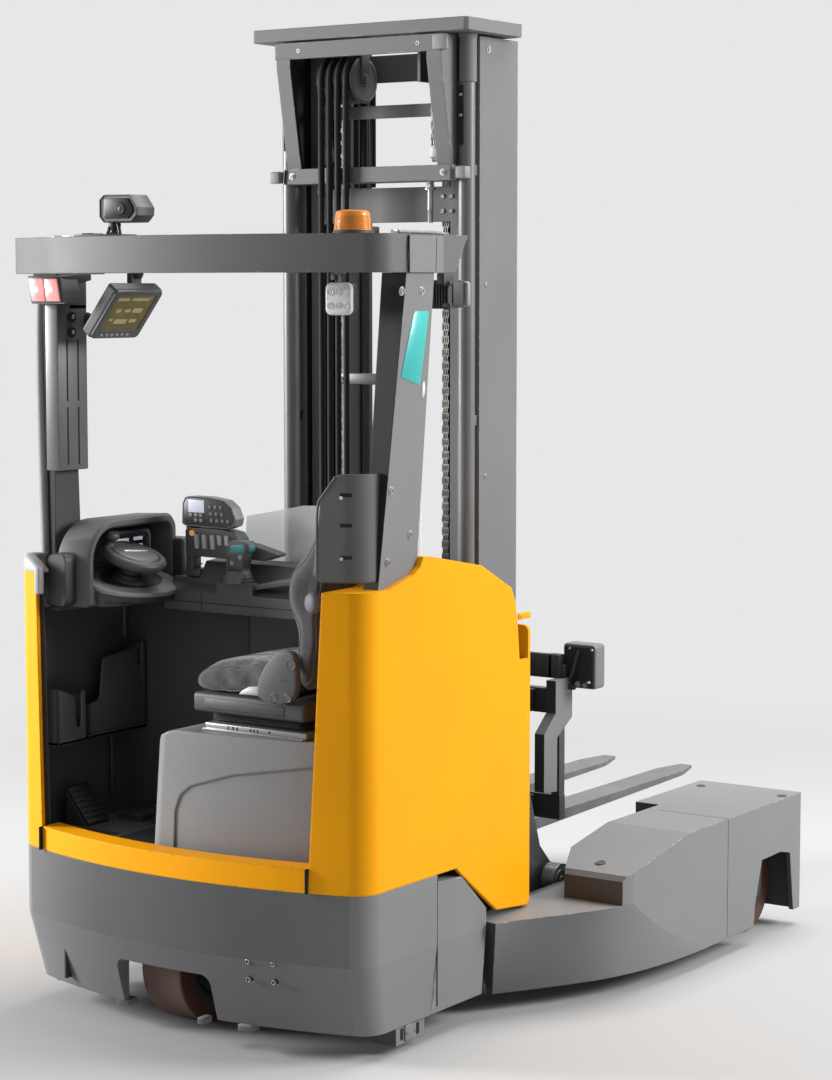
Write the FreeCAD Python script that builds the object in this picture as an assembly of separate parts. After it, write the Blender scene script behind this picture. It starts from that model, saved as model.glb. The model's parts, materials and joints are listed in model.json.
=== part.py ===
import FreeCAD, Part
import math
import os

# Reach truck with a seated, sideways-facing operator.
# Frame: +X is the truck's right, +Y points to the fork tips, +Z is up, millimetres.
# The origin is on the floor under the middle of the truck's bounding box.

os.makedirs("parts", exist_ok=True)
V = FreeCAD.Vector

# ---------------------------------------------------------------- driving dimensions
overall_length = 2694.0        # rear of bumper to fork tips, mast retracted
overall_width = 1682.0         # across the load arms
mast_height = 2817.0           # top of the lowered mast
guard_height = 2190.0          # top of the overhead guard
body_width = 1218.0            # across the cab and battery covers
floor_height = 505.0           # cab floor over the ground
fit_gap = 0.3                  # running gap between a roller or pad and its track
move_gap = 6.0                 # gap between neighbours that move past each other

half_body = body_width / 2
half_width = overall_width / 2
rear_y = -overall_length / 2
tips_y = overall_length / 2

# rear bumper and hull
rear_radius = 1700.0           # plan radius of the curved rear
corner_radius = 75.0
hull_bottom_z = 75.0
crease_z = 270.0               # below this line the hull tucks in
tuck_side = 15.0
tuck_rear = 55.0
bumper_top_z = 464.0
bumper_length = 437.0
bumper_front_y = rear_y + bumper_length
ceiling_z = 410.0              # roof of the drive wheel bay
bay_half_width = 528.0
bay_wall = 75.0                # thickness of the rear wall of the drive wheel bay

# cab
cab_length = 557.0
cab_front_y = rear_y + cab_length
sill_top_z = 530.0
sill_depth = 70.0
sill_left_x = -497.0
sill_right_x = 450.0
cover_wall = 13.0
cover_length = 903.0
cover_front_y = rear_y + cover_length
panel_wall = 20.0

# load arms
arm_start = 682.0
arm_rear_y = rear_y + arm_start
arm_front_y = 860.0
arm_inner_x = 543.0
arm_bottom_z = 55.0
arm_top_z = 283.0
hood_top_z = 430.0
hood_rear_z = 366.0
hood_wall = 15.0
housing_length = 513.0
housing_rear_y = arm_front_y - housing_length
housing_inner_x = 473.0

# wheels
drive_wheel_d = 343.0
drive_wheel_w = 140.0
drive_wheel_x = -84.0
drive_wheel_y = rear_y + 267.0
load_wheel_d = 285.0
load_wheel_w = 100.0
load_wheel_x = 700.0
load_wheel_y = arm_front_y - 190.0

# reach rails and reach carriage
rail_web = 20.0
rail_flange = 22.0
rail_inner_x = 455.0
reach_roller_d = 100.0
reach_roller_w = 42.0
reach_roller_z = 275.0
reach_plate = 28.0
reach_travel = 600.0

# mast
fork_length = 1150.0
fork_face_y = tips_y - fork_length
mast_front_y = fork_face_y - 287.0
mast_depth = 206.0
mast_rear_y = mast_front_y - mast_depth
mast_half = 343.0              # outer face of the outer channels
mast_foot_z = 90.0
crown_thickness = 37.0         # top plate of the mast
crown_half = 385.0
crown_rear_y = mast_rear_y - 134.0
channel_web = 12.0
reach_front_roller_y = mast_rear_y + 224.0
reach_rear_roller_y = reach_front_roller_y - 300.0

# forks
fork_bottom_z = 335.0
fork_thickness = 40.0
fork_width = 100.0
fork_half_spacing = 155.0
carriage_half = 372.0
carriage_drop = 76.0           # fork underside to the lower fork bar
carriage_height = 407.0


# ---------------------------------------------------------------- helpers
def box(x0, x1, y0, y1, z0, z1):
    """A block between two corners."""
    return Part.makeBox(x1 - x0, y1 - y0, z1 - z0, V(x0, y0, z0))


def rod(start, end, radius):
    """A round bar between two points."""
    a = V(*start)
    b = V(*end)
    return Part.makeCylinder(radius, (b - a).Length, a, b - a)


def plate_xy(points, z0, z1):
    """An outline in plan, extruded upwards."""
    corners = [V(x, y, z0) for x, y in points]
    face = Part.Face(Part.makePolygon(corners + corners[:1]))
    return face.extrude(V(0, 0, z1 - z0))


def plate_yz(points, x0, x1):
    """An outline in side view, extruded across the truck."""
    corners = [V(x0, y, z) for y, z in points]
    face = Part.Face(Part.makePolygon(corners + corners[:1]))
    return face.extrude(V(x1 - x0, 0, 0))


def plate_xz(points, y0, y1):
    """An outline in rear view, extruded along the truck."""
    corners = [V(x, y0, z) for x, z in points]
    face = Part.Face(Part.makePolygon(corners + corners[:1]))
    return face.extrude(V(0, y1 - y0, 0))


def fuse(*shapes):
    """Shapes joined into one solid, with seam lines removed."""
    first = shapes[0]
    return first.fuse(list(shapes[1:])).removeSplitter()


def mirrored(shape):
    """The same shape on the truck's other side."""
    return shape.mirror(V(0, 0, 0), V(1, 0, 0))


def pair(shape):
    """A shape and its mirror image as two solids."""
    return Part.makeCompound([shape, mirrored(shape)])


def rounded(shape, radius, direction):
    """Fillet the straight edges that run along one axis."""
    edges = []
    for edge in shape.Edges:
        if edge.Curve.TypeId != "Part::GeomLine":
            continue
        along = (edge.Vertexes[-1].Point - edge.Vertexes[0].Point).normalize()
        if abs(abs(along.dot(V(*direction))) - 1) < 1e-6:
            edges.append(edge)
    return shape.makeFillet(radius, edges)


def soft_box(x0, x1, y0, y1, z0, z1, radius):
    """A block with every edge rounded."""
    block = box(x0, x1, y0, y1, z0, z1)
    return block.makeFillet(radius, block.Edges)


def plan_wire(half, back, front, z):
    """The body's plan outline: curved rear, rounded corners and straight sides."""
    centre_y = back + rear_radius
    reach = rear_radius - corner_radius
    side_y = centre_y - math.sqrt(reach ** 2 - (half - corner_radius) ** 2)
    ux = (half - corner_radius) / reach
    uy = (side_y - centre_y) / reach
    turn_x = rear_radius * ux
    turn_y = centre_y + rear_radius * uy
    middle = math.atan2(uy, ux) / 2
    bend_x = half - corner_radius + corner_radius * math.cos(middle)
    bend_y = side_y + corner_radius * math.sin(middle)
    edges = [
        Part.LineSegment(V(half, front, z), V(half, side_y, z)).toShape(),
        Part.Arc(V(half, side_y, z), V(bend_x, bend_y, z), V(turn_x, turn_y, z)).toShape(),
        Part.Arc(V(turn_x, turn_y, z), V(0, back, z), V(-turn_x, turn_y, z)).toShape(),
        Part.Arc(V(-turn_x, turn_y, z), V(-bend_x, bend_y, z), V(-half, side_y, z)).toShape(),
        Part.LineSegment(V(-half, side_y, z), V(-half, front, z)).toShape(),
        Part.LineSegment(V(-half, front, z), V(half, front, z)).toShape(),
    ]
    return Part.Wire(edges)


def plan_prism(inset, front, z0, z1):
    """The body's plan outline, set in all round by inset and extruded upwards."""
    wire = plan_wire(half_body - inset, rear_y + inset, front, z0)
    return Part.Face(wire).extrude(V(0, 0, z1 - z0))


nodes = {}


# ---------------------------------------------------------------- hull
def hull_outer(front):
    """The lower body, tucked in below the crease."""
    upper = plan_prism(0, front, crease_z, bumper_top_z)
    top = plan_wire(half_body, rear_y, front, crease_z)
    bottom = plan_wire(half_body - tuck_side, rear_y + tuck_rear, front, hull_bottom_z)
    lower = Part.makeLoft([top, bottom], True, True)
    return fuse(upper, lower)


hull = hull_outer(arm_rear_y)
bay_wire = plan_wire(bay_half_width, rear_y + bay_wall, arm_rear_y + 1, hull_bottom_z - 1)
bay = Part.Face(bay_wire).extrude(V(0, 0, ceiling_z - hull_bottom_z + 1))

arch_left_x = -190.0
arch_right_x = 144.0
arch_top_z = 205.0
arch = rounded(
    box(arch_left_x, arch_right_x, rear_y - 50, rear_y + 200, 0, arch_top_z), 30, (0, 1, 0))
tie_hole_r = 7.0
tie_spacing_x = 74.0
tie_spacing_z = 50.0
tie_x = 314.0
tie_z = 239.0
tie_holes = [
    rod((tie_x + sx * tie_spacing_x / 2, rear_y - 50, tie_z + sz * tie_spacing_z / 2),
        (tie_x + sx * tie_spacing_x / 2, rear_y + 200, tie_z + sz * tie_spacing_z / 2),
        tie_hole_r)
    for sx in (-1, 1) for sz in (-1, 1)
]


def rear_bumper():
    shell = hull.common(box(-900, 900, rear_y - 10, bumper_front_y, 0, 600))
    shell = shell.cut([bay, arch] + tie_holes)
    jack_block = box(half_body - tuck_side - 90, half_body - tuck_side - 8,
                     bumper_front_y - 165, bumper_front_y - 30, 22, hull_bottom_z)
    return fuse(shell, jack_block)


nodes["rear_bumper"] = rear_bumper()

tray_z = 105.0
drive_swing_r = 200.0          # room the drive wheel needs to turn through
battery_length = 300.0
battery_half = 500.0
battery_bottom_z = 212.0
battery_top_z = 950.0
battery_rear_y = cab_front_y + 25.0
chassis_front_y = battery_rear_y + battery_length + 35.0
reach_cylinder_x = 250.0
reach_cylinder_z = 158.0
reach_cylinder_r = 32.0
reach_rod_r = 20.0


def chassis_frame():
    sides = hull.common(box(-900, 900, bumper_front_y, arm_rear_y, 0, 600))
    core = box(-arm_inner_x, arm_inner_x, bumper_front_y, arm_rear_y, 0, 600)
    slope = plate_yz([(bumper_front_y - 1, bumper_top_z - 20), (cab_front_y, bumper_top_z - 28),
                      (arm_rear_y + 1, arm_top_z + 40), (arm_rear_y + 1, 700),
                      (bumper_front_y - 1, 700)], -700, 700)
    sides = sides.cut([core, slope])
    tray = box(-arm_inner_x, arm_inner_x, bumper_front_y, chassis_front_y, hull_bottom_z, tray_z)
    tray = tray.cut(rod((drive_wheel_x, drive_wheel_y, hull_bottom_z - 1),
                        (drive_wheel_x, drive_wheel_y, tray_z + 1), drive_swing_r))
    wall = box(-arm_inner_x, arm_inner_x, cab_front_y - 45, cab_front_y - 20, tray_z, 400)
    bearers = [box(-battery_half, battery_half, y, y + 40, tray_z, battery_bottom_z)
               for y in (battery_rear_y + 10, battery_rear_y + battery_length - 50)]
    stop = box(-battery_half, battery_half, chassis_front_y - 32, chassis_front_y, tray_z, 330)
    frame = fuse(sides, tray, wall, stop, *bearers)
    passage = rod((reach_cylinder_x, bumper_front_y - 50, reach_cylinder_z),
                  (reach_cylinder_x, chassis_front_y + 50, reach_cylinder_z), reach_cylinder_r + 0.2)
    reach = reach_roller_d / 2 + 8                 # room for the rear reach rollers
    room = [box(min(a, b), max(a, b), reach_rear_roller_y - reach, reach_rear_roller_y + reach,
                reach_roller_z - reach, reach_roller_z + reach)
            for a, b in ((rail_inner_x - 8, arm_inner_x), (8 - rail_inner_x, -arm_inner_x))]
    return frame.cut([passage] + room)


nodes["chassis_frame"] = chassis_frame()
nodes["battery"] = box(-battery_half, battery_half, battery_rear_y, battery_rear_y + battery_length,
                       battery_bottom_z, battery_top_z)


# ---------------------------------------------------------------- yellow body panels
post_foot_z = 1150.0
post_foot = (535.0, 580.0, cab_front_y - 375, cab_front_y - 194)      # x0, x1, y0, y1
post_head = (570.0, 651.0, cab_front_y - 313, cab_front_y - 190)
post_head_z = guard_height - 4
left_post_slimming = 62.0      # the left post is this much shorter from back to front
cover_sill_z = bumper_top_z
cover_low_z = arm_top_z + 6
cover_slant_start = cab_front_y
cover_slant_end = cover_slant_start + 180
cover_rear_top_z = 1262.0
cover_shoulder_z = 1338.0
cover_front_top_z = 1226.0
cover_return = 72.0             # width of the panel's front return


def post_section(section, gap, z):
    x0, x1, y0, y1 = section
    corners = [V(x0 - gap, y0 - gap, z), V(x1 + gap, y0 - gap, z), V(x1 + gap, y1 + gap, z),
               V(x0 - gap, y1 + gap, z)]
    return Part.makePolygon(corners + corners[:1])


def post_body(gap, slimming=0.0):
    """Wide box post that leans outwards and forwards, with a gap all round."""
    sections = []
    for (x0, x1, y0, y1), z in ((post_foot, post_foot_z - gap), (post_head, post_head_z)):
        sections.append(post_section((x0, x1, y0, y1 - slimming), gap, z))
    return Part.makeLoft(sections, True, True)


post_room = post_body(fit_gap)
guard_width = 62.0
guard_bar_low_z = guard_height - 62.0


def cover_profile(inset):
    """Side outline of a body cover, set in along its top and front edges."""
    low = cover_front_y - inset
    top = inset
    return [
        (rear_y - 20, cover_sill_z), (cover_slant_start - 25, cover_sill_z),
        (cover_slant_start, cover_sill_z - 22), (cover_slant_end, cover_low_z + 18),
        (low, cover_low_z), (low - 8, 650), (low - 38, 890), (low - 60, 1110),
        (low - 72, 1170 - top), (low - 92, cover_front_top_z - 14 - top),
        (low - 120, cover_front_top_z - top),
        (cover_front_y - 250, 1290 - top), (cover_front_y - 490, cover_shoulder_z - 4 - top),
        (cover_front_y - 535, cover_shoulder_z - top), (cover_front_y - 550, 1312 - top),
        (cover_front_y - 580, 1293 - top), (cover_front_y - 690, cover_rear_top_z + 2 - top),
        (rear_y - 20, cover_rear_top_z - 2 - top),
    ]


def edge_slant(low_x, high_x):
    """Everything inboard of a cover's leaning rear edge."""
    return plate_xz([(-900, 0), (low_x, 0), (low_x, cover_sill_z), (high_x, cover_rear_top_z),
                     (high_x, 1500), (-900, 1500)], rear_y - 100, cab_front_y)


def body_cover(low_x, high_x):
    """Right-hand cover: side wall, rear corner and top, open on the inside, with a front return."""
    outer = plan_prism(0, cover_front_y + 60, 200, 1500)
    outer = outer.common(plate_yz(cover_profile(0), low_x, half_body + 10))
    inner = plan_prism(cover_wall, cover_front_y + 60, 190, 1510)
    inner = inner.common(plate_yz(cover_profile(cover_wall), low_x - 10, half_body + 10))
    shell = outer.cut(inner)
    below = box(0, 900, rear_y - 50, cover_front_y + 100, 100, cover_sill_z + cover_wall)
    inner_low = plan_prism(cover_wall, cover_front_y - cover_wall, 190, 800)
    shell = shell.cut(inner_low.common(below))
    wall_x = half_body - cover_wall
    flange_end = box(0, wall_x, cover_front_y - 90 - 2 * cover_wall, cover_front_y + 1, 100,
                     cover_front_top_z - cover_wall)
    shell = shell.cut([post_room, flange_end, edge_slant(low_x, high_x)])
    web = box(wall_x - 12, wall_x + 1, cover_front_y - 45, cover_front_y + 18, cover_low_z, 1000)
    inner_panel = box(half_body - cover_return, wall_x - 1, cover_front_y + 18, cover_front_y + 30,
                      cover_low_z, 1094)
    inner_panel = inner_panel.makeFillet(18, [e for e in inner_panel.Edges
                                              if e.BoundBox.ZMin > 1090 and e.BoundBox.XMin > wall_x - 2])
    return fuse(shell, web, inner_panel)


nodes["right_body_cover"] = body_cover(sill_right_x, 490.0)
nodes["left_body_cover"] = mirrored(body_cover(-sill_left_x, 515.0))


def door_sill():
    ring = plan_prism(0, cab_front_y, bumper_top_z, sill_top_z)
    ring = ring.cut(plan_prism(sill_depth, cab_front_y + 10, bumper_top_z - 1, sill_top_z + 1))
    return ring.common(box(sill_left_x, sill_right_x, rear_y - 5, rear_y + 300, 400, 700))


nodes["door_sill"] = door_sill()


# ---------------------------------------------------------------- load arms
def arm_curve(points, z):
    curve = Part.BSplineCurve()
    curve.interpolate([V(x, y, z) for x, y in points])
    return curve.toShape()


def arm_outline(flare, front, z):
    """Plan outline of a load arm: straight inside, flared outside."""
    start = flare[0]
    end = flare[-1]
    edges = [
        Part.LineSegment(V(arm_inner_x, start[1] + 30, z), V(start[0], start[1], z)).toShape(),
        arm_curve(flare, z),
        Part.LineSegment(V(end[0], end[1], z), V(half_width, front, z)).toShape(),
        Part.LineSegment(V(half_width, front, z), V(arm_inner_x, front, z)).toShape(),
        Part.LineSegment(V(arm_inner_x, front, z), V(arm_inner_x, start[1] + 30, z)).toShape(),
    ]
    return Part.Wire(edges)


arm_step = half_body + 35.0
flare_top = [(arm_step, arm_rear_y - 5), (half_width - 100, arm_rear_y + 190),
             (half_width - 38, arm_rear_y + 305), (half_width - 1, arm_rear_y + 420),
             (half_width, arm_rear_y + 560)]
flare_bottom = [(arm_step - 62, arm_rear_y + 75), (half_width - 152, arm_rear_y + 250),
                (half_width - 68, arm_rear_y + 420), (half_width - 16, arm_rear_y + 640),
                (half_width - 0.5, arm_rear_y + 860)]
hood_rear_y = arm_rear_y + 380
hood_kink_y = hood_rear_y + 385
hood_inner_x = 558.0


def load_arm():
    top = arm_outline(flare_top, housing_rear_y, arm_top_z)
    bottom = arm_outline(flare_bottom, housing_rear_y, arm_bottom_z)
    low = Part.makeLoft([top, bottom], True, False)
    hood = plate_yz([(hood_rear_y, arm_top_z), (housing_rear_y, arm_top_z),
                     (housing_rear_y, hood_top_z), (hood_kink_y, hood_top_z),
                     (hood_rear_y + 18, hood_rear_z), (hood_rear_y, hood_rear_z - 14)],
                    hood_inner_x, half_width)
    corner = plate_xy([(hood_inner_x - 1, hood_rear_y - 1), (arm_step - 8, hood_rear_y - 1),
                       (hood_inner_x - 1, hood_rear_y + 170)], 0, 600)
    hood = hood.cut(corner).common(Part.Face(top).extrude(V(0, 0, 400)))
    side_limit = box(0, half_width, arm_rear_y - 100, arm_front_y, 0, 600)
    return fuse(low, hood).common(side_limit)


nodes["load_arms"] = pair(load_arm())


def wheel_housing():
    """Shell over the load wheel, open below and with an arch in its outer face."""
    front = rounded(box(housing_inner_x, half_width, housing_rear_y, arm_front_y,
                        arm_bottom_z, hood_top_z), 12, (0, 0, 1))
    front = front.fuse(box(housing_inner_x, half_width, housing_rear_y, housing_rear_y + 60,
                           arm_bottom_z, hood_top_z)).removeSplitter()
    notch_y = housing_rear_y + 75
    notch = box(housing_inner_x - 1, hood_inner_x, housing_rear_y - 1, notch_y, 0, 600)
    below_overhang = box(housing_inner_x - 1, arm_inner_x, housing_rear_y - 1,
                         arm_front_y - 30, 0, 372)
    inside = box(arm_inner_x, half_width - hood_wall, load_wheel_y - 210,
                 arm_front_y - 30, 0, hood_top_z - 2 * hood_wall)
    arch_profile = [(load_wheel_y - 150, 0), (load_wheel_y - 136, 125), (load_wheel_y - 91, 259),
                    (load_wheel_y + 40, 262), (load_wheel_y + 107, 247), (load_wheel_y + 143, 0)]
    arch_cut = plate_yz(arch_profile, half_width - 60, half_width + 10)
    return front.cut([notch, below_overhang, inside, arch_cut])


nodes["wheel_housings"] = pair(wheel_housing())

rail_bottom_z = reach_roller_z - reach_roller_d / 2 - fit_gap - rail_flange
rail_top_z = reach_roller_z + reach_roller_d / 2 + fit_gap + rail_flange
rail_window_y = arm_rear_y + 800
rail_rear_y = chassis_front_y + fit_gap


def reach_rail():
    """Rail along an arm's inner side: web, lower track and the hold-down track at its ends."""
    web = box(arm_inner_x - rail_web, arm_inner_x, rail_rear_y, arm_front_y - 30,
              arm_bottom_z, rail_top_z)
    web = web.cut(box(0, 900, hood_rear_y - 400, rail_window_y, arm_top_z, 600))
    track = box(rail_inner_x, arm_inner_x - rail_web, rail_rear_y, arm_front_y - 30,
                rail_bottom_z, rail_bottom_z + rail_flange)
    hold_down = box(rail_inner_x, arm_inner_x - rail_web, rail_window_y, arm_front_y - 30,
                    rail_top_z - rail_flange, rail_top_z)
    return fuse(web, track, hold_down)


nodes["reach_rails"] = pair(reach_rail())


# ---------------------------------------------------------------- load wheels
def wheel(x, y, z, diameter, width, hub, bore):
    """A wheel that turns about an axis along X, with a dished hub on both sides."""
    body = rod((x - width / 2, y, z), (x + width / 2, y, z), diameter / 2)
    body = body.makeFillet(7, body.Edges[0:1] + body.Edges[2:3])
    for side in (-1, 1):
        rim = rod((x + side * (width / 2 - 12), y, z), (x + side * (width / 2 + 1), y, z), hub)
        body = body.cut(rim)
    return body.cut(rod((x - width, y, z), (x + width, y, z), bore))


axle_r = 22.0
load_wheel_z = load_wheel_d / 2
crown_z = load_wheel_d + 12.0
housing_roof_z = hood_top_z - 2 * hood_wall


def load_wheel_fork():
    """Swivel fork: turntable under the housing roof, crown, two cheeks and the axle."""
    x = load_wheel_x
    y = load_wheel_y
    turntable = rod((x, y, crown_z + 14), (x, y, housing_roof_z - fit_gap), 82)
    crown = rod((x, y, crown_z), (x, y, crown_z + 14), 92)
    parts = [turntable, crown]
    for side in (-1, 1):
        inner = x + side * (load_wheel_w / 2 + 4)
        outer = x + side * (load_wheel_w / 2 + 14)
        cheek = plate_yz([(y - 48, load_wheel_z - 34), (y + 48, load_wheel_z - 34),
                          (y + 62, load_wheel_z + 40), (y + 60, crown_z + 14),
                          (y - 60, crown_z + 14), (y - 62, load_wheel_z + 40)],
                         min(inner, outer), max(inner, outer))
        parts.append(cheek)
    parts.append(rod((x - load_wheel_w / 2 - 14, y, load_wheel_z),
                     (x + load_wheel_w / 2 + 14, y, load_wheel_z), axle_r))
    return fuse(*parts)


right_fork = load_wheel_fork()
nodes["load_wheel_fork_right"] = right_fork
nodes["load_wheel_fork_left"] = mirrored(right_fork)
right_wheel = wheel(load_wheel_x, load_wheel_y, load_wheel_z, load_wheel_d, load_wheel_w, 70, axle_r + 0.1)
nodes["load_wheel_right"] = right_wheel
nodes["load_wheel_left"] = mirrored(right_wheel)


# ---------------------------------------------------------------- drive unit
drive_wheel_z = drive_wheel_d / 2
gearbox_gap = 6.0
gearbox_w = 62.0


def drive_unit():
    """Turntable with a one-sided reduction gearbox and the wheel's stub axle."""
    x = drive_wheel_x
    y = drive_wheel_y
    turntable = rod((x, y, 368), (x, y, ceiling_z - fit_gap), 125)
    neck = rod((x, y, 352), (x, y, 368), 100)
    left = x - drive_wheel_w / 2 - gearbox_gap - gearbox_w
    right = x - drive_wheel_w / 2 - gearbox_gap
    gearbox = plate_yz([(y - 70, 92), (y + 70, 92), (y + 84, 190), (y + 70, 368), (y - 70, 368),
                        (y - 84, 190)], left, right)
    gearbox = rounded(gearbox, 10, (1, 0, 0))
    axle = rod((right - 5, y, drive_wheel_z), (x + drive_wheel_w / 2 - 6, y, drive_wheel_z), 30)
    return fuse(turntable, neck, gearbox, axle)


nodes["drive_unit"] = drive_unit()
nodes["drive_wheel"] = wheel(drive_wheel_x, drive_wheel_y, drive_wheel_z, drive_wheel_d,
                             drive_wheel_w, 108, 30.1)


# ---------------------------------------------------------------- cab interior
side_wall_x = half_body - cover_wall
front_wall_z = 1125.0


def cab_floor():
    plate = plan_prism(sill_depth + 0.5, cab_front_y - 1, bumper_top_z, floor_height)
    plate = plate.common(box(-side_wall_x + 2, side_wall_x - 2, rear_y, cab_front_y - 1, 0, floor_height + 1))
    pedals = [box(x, x + 95, cab_front_y - 190, cab_front_y - 60, floor_height, floor_height + 14)
              for x in (-470.0, -340.0)]
    rest = plate_xz([(-545, floor_height), (-470, floor_height), (-545, floor_height + 95)],
                    cab_front_y - 330, cab_front_y - 230)
    return fuse(plate, rest, *pedals)


nodes["cab_floor"] = cab_floor()

plinth_left_x = -125.0
plinth_right_x = side_wall_x - cover_wall - 6
plinth_top_z = 850.0
plinth_rear_y = rear_y + 92.0
plinth_front_y = cab_front_y - 30.0
plinth_wall = 14.0
plinth_corner_r = 45.0
plinth_lean = 28.0              # how far the left side leans in over its height
plinth_recess = 4.0             # depth of the sunk panel in the rear face


def plinth_body(inset):
    """Seat plinth: rear face follows the curved rear, left side leans in and curves over."""
    low = floor_height
    high = plinth_top_z - inset
    left = plinth_left_x + inset
    right = plinth_right_x - inset
    lean = plate_xz([(left, low), (left + plinth_lean, high), (right, high), (right, low)],
                    rear_y, plinth_front_y - inset)
    block = lean.common(plan_prism(92 + inset, plinth_front_y - inset, low - 1, high + 1))
    rear_edge = [e for e in block.Edges if e.BoundBox.XMax < left + plinth_lean + 1
                 and e.BoundBox.ZLength > 200 and e.BoundBox.YMax < plinth_rear_y + inset + 30]
    block = block.makeFillet(plinth_corner_r - inset, rear_edge)
    shoulder = plate_xz([(left - 9, low - 1), (left - 9, high - 95), (left + plinth_lean, high - 50),
                         (left + plinth_lean + 20, high - 20), (left + plinth_lean + 52, high - 5),
                         (left + plinth_lean + 82, high), (right + 9, high), (right + 9, low - 1)],
                        rear_y, cab_front_y)
    return block.common(shoulder)


def seat_plinth():
    inner = plinth_body(plinth_wall)
    inner = inner.cut(box(plinth_left_x, plinth_left_x + 50, rear_y, cab_front_y, 400, 900))
    inner.translate(V(0, 0, -0.5))
    panel = plate_xz([(plinth_left_x + 72, 0), (plinth_left_x + 100, 628), (plinth_left_x + 119, 672),
                      (plinth_left_x + 154, 700), (plinth_left_x + 293, 743), (plinth_left_x + 555, 787),
                      (plinth_right_x + 5, 800), (plinth_right_x + 5, 0)], rear_y, cab_front_y)
    skin = plinth_body(0).cut(plinth_body(plinth_recess))
    rear_zone = box(-900, 900, rear_y, plinth_rear_y + 130, 0, 900)
    return plinth_body(0).cut([inner, panel.common(skin).common(rear_zone)])


nodes["seat_plinth"] = seat_plinth()

seat_y = cab_front_y - 238.0
seat_half = 225.0
seat_base_z = plinth_top_z


def seat_suspension():
    """Base rails, bellows block, sprung housing and the side shells of the seat."""
    rails = [soft_box(44, 384, y, y + 60, seat_base_z, seat_base_z + 30, 5)
             for y in (seat_y - 175, seat_y + 115)]
    tray = box(60, 370, seat_y - 170, seat_y + 170, seat_base_z + 8, seat_base_z + 26)
    bellows = box(40, 360, seat_y - 150, seat_y + 150, seat_base_z + 24, seat_base_z + 56)
    housing = soft_box(18, 392, seat_y - 196, seat_y + 196, seat_base_z + 52, seat_base_z + 106, 10)
    shells = [plate_xz([(262, seat_base_z + 96), (392, seat_base_z + 96), (392, seat_base_z + 235),
                        (380, seat_base_z + 250), (330, seat_base_z + 246),
                        (282, seat_base_z + 205), (262, seat_base_z + 160)], y, y + 22)
              for y in (seat_y - 228, seat_y + 206)]
    arms = [box(275, 380, seat_y - 228, seat_y + 228, seat_base_z + 82, seat_base_z + 100)]
    return fuse(tray, bellows, housing, *rails, *shells, *arms)


nodes["seat_suspension"] = seat_suspension()

cushion_bottom_z = seat_base_z + 106.5
cushion_top_z = seat_base_z + 192.0
nodes["seat_cushion"] = plate_xz(
    [(2, cushion_bottom_z), (335, cushion_bottom_z), (335, cushion_top_z + 6), (250, cushion_top_z + 4),
     (120, cushion_top_z), (40, cushion_top_z - 10), (0, cushion_top_z - 28),
     (-14, cushion_top_z - 48), (-8, cushion_bottom_z + 14)], seat_y - 200, seat_y + 200)
nodes["seat_backrest"] = plate_xz(
    [(340, cushion_bottom_z), (398, cushion_bottom_z), (400, 1120), (404, 1200), (418, 1290), (450, 1380),
     (488, 1460), (524, 1530), (520, 1556), (482, 1556), (466, 1530), (423, 1470), (389, 1390),
     (345, 1332), (314, 1285), (304, 1240), (317, 1170), (340, 1110)], seat_y - 182, seat_y + 182)

pad_thickness = 12.0
pad_low_z = 1286.0
pad_high_z = 1569.0


def corner_pad():
    """Curved guard panel between the seat back and the right-hand post."""
    outer = plan_prism(26, cab_front_y - 300, pad_low_z, pad_high_z)
    outer = outer.cut(plan_prism(26 + pad_thickness, cab_front_y, pad_low_z - 1, pad_high_z + 1))
    outline = plate_xz([(452, pad_low_z + 20), (470, pad_low_z), (700, pad_low_z),
                        (700, pad_high_z), (520, pad_high_z), (474, pad_high_z - 60)],
                       rear_y, cab_front_y)
    return outer.common(outline).cut(post_room)


nodes["corner_pad"] = corner_pad()

nodes["front_panel"] = box(-side_wall_x + 1, side_wall_x - 1, cab_front_y, cab_front_y + panel_wall,
                           bumper_top_z, front_wall_z)
cab_room = plan_prism(cover_wall + 0.5, cab_front_y, bumper_top_z, 1500)
left_post_room = mirrored(post_body(fit_gap, left_post_slimming))

storage_low_z = 735.0
storage_high_z = 1150.0


def storage_panel():
    """Backing panel on the cab's left wall with two open-topped pockets."""
    left = -side_wall_x + 1
    back = box(left, left + 20, cab_front_y - 415, cab_front_y, storage_low_z, storage_high_z)
    parts = [back]
    cavities = []
    for start, length, height, depth in ((-415.0, 130.0, 170.0, 96.0), (-270.0, 262.0, 275.0, 88.0)):
        y0 = cab_front_y + start
        parts.append(box(left, left + depth, y0, y0 + length, storage_low_z + 10, storage_low_z + height))
        cavities.append(box(left + 20, left + depth - 9, y0 + 9, y0 + length - 9, storage_low_z + 22,
                            storage_low_z + height + 1))
    shelf = box(left, left + 100, cab_front_y - 395, cab_front_y, storage_high_z - 14, storage_high_z)
    return fuse(*parts, shelf).cut(cavities).common(cab_room)


nodes["storage_panel"] = storage_panel()


column_tilt = math.radians(20)
column_r = 20.0
grip_r = 82.0                   # middle of the steering wheel's rim
column_axis = (math.sin(column_tilt), 0.0, math.cos(column_tilt))
steer_centre = (-376.0, cab_front_y - 215.0, 1285.0)


def along_column(distance):
    """A point on the steering column's axis, measured from the steering wheel's centre."""
    return tuple(c + distance * a for c, a in zip(steer_centre, column_axis))


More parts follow.
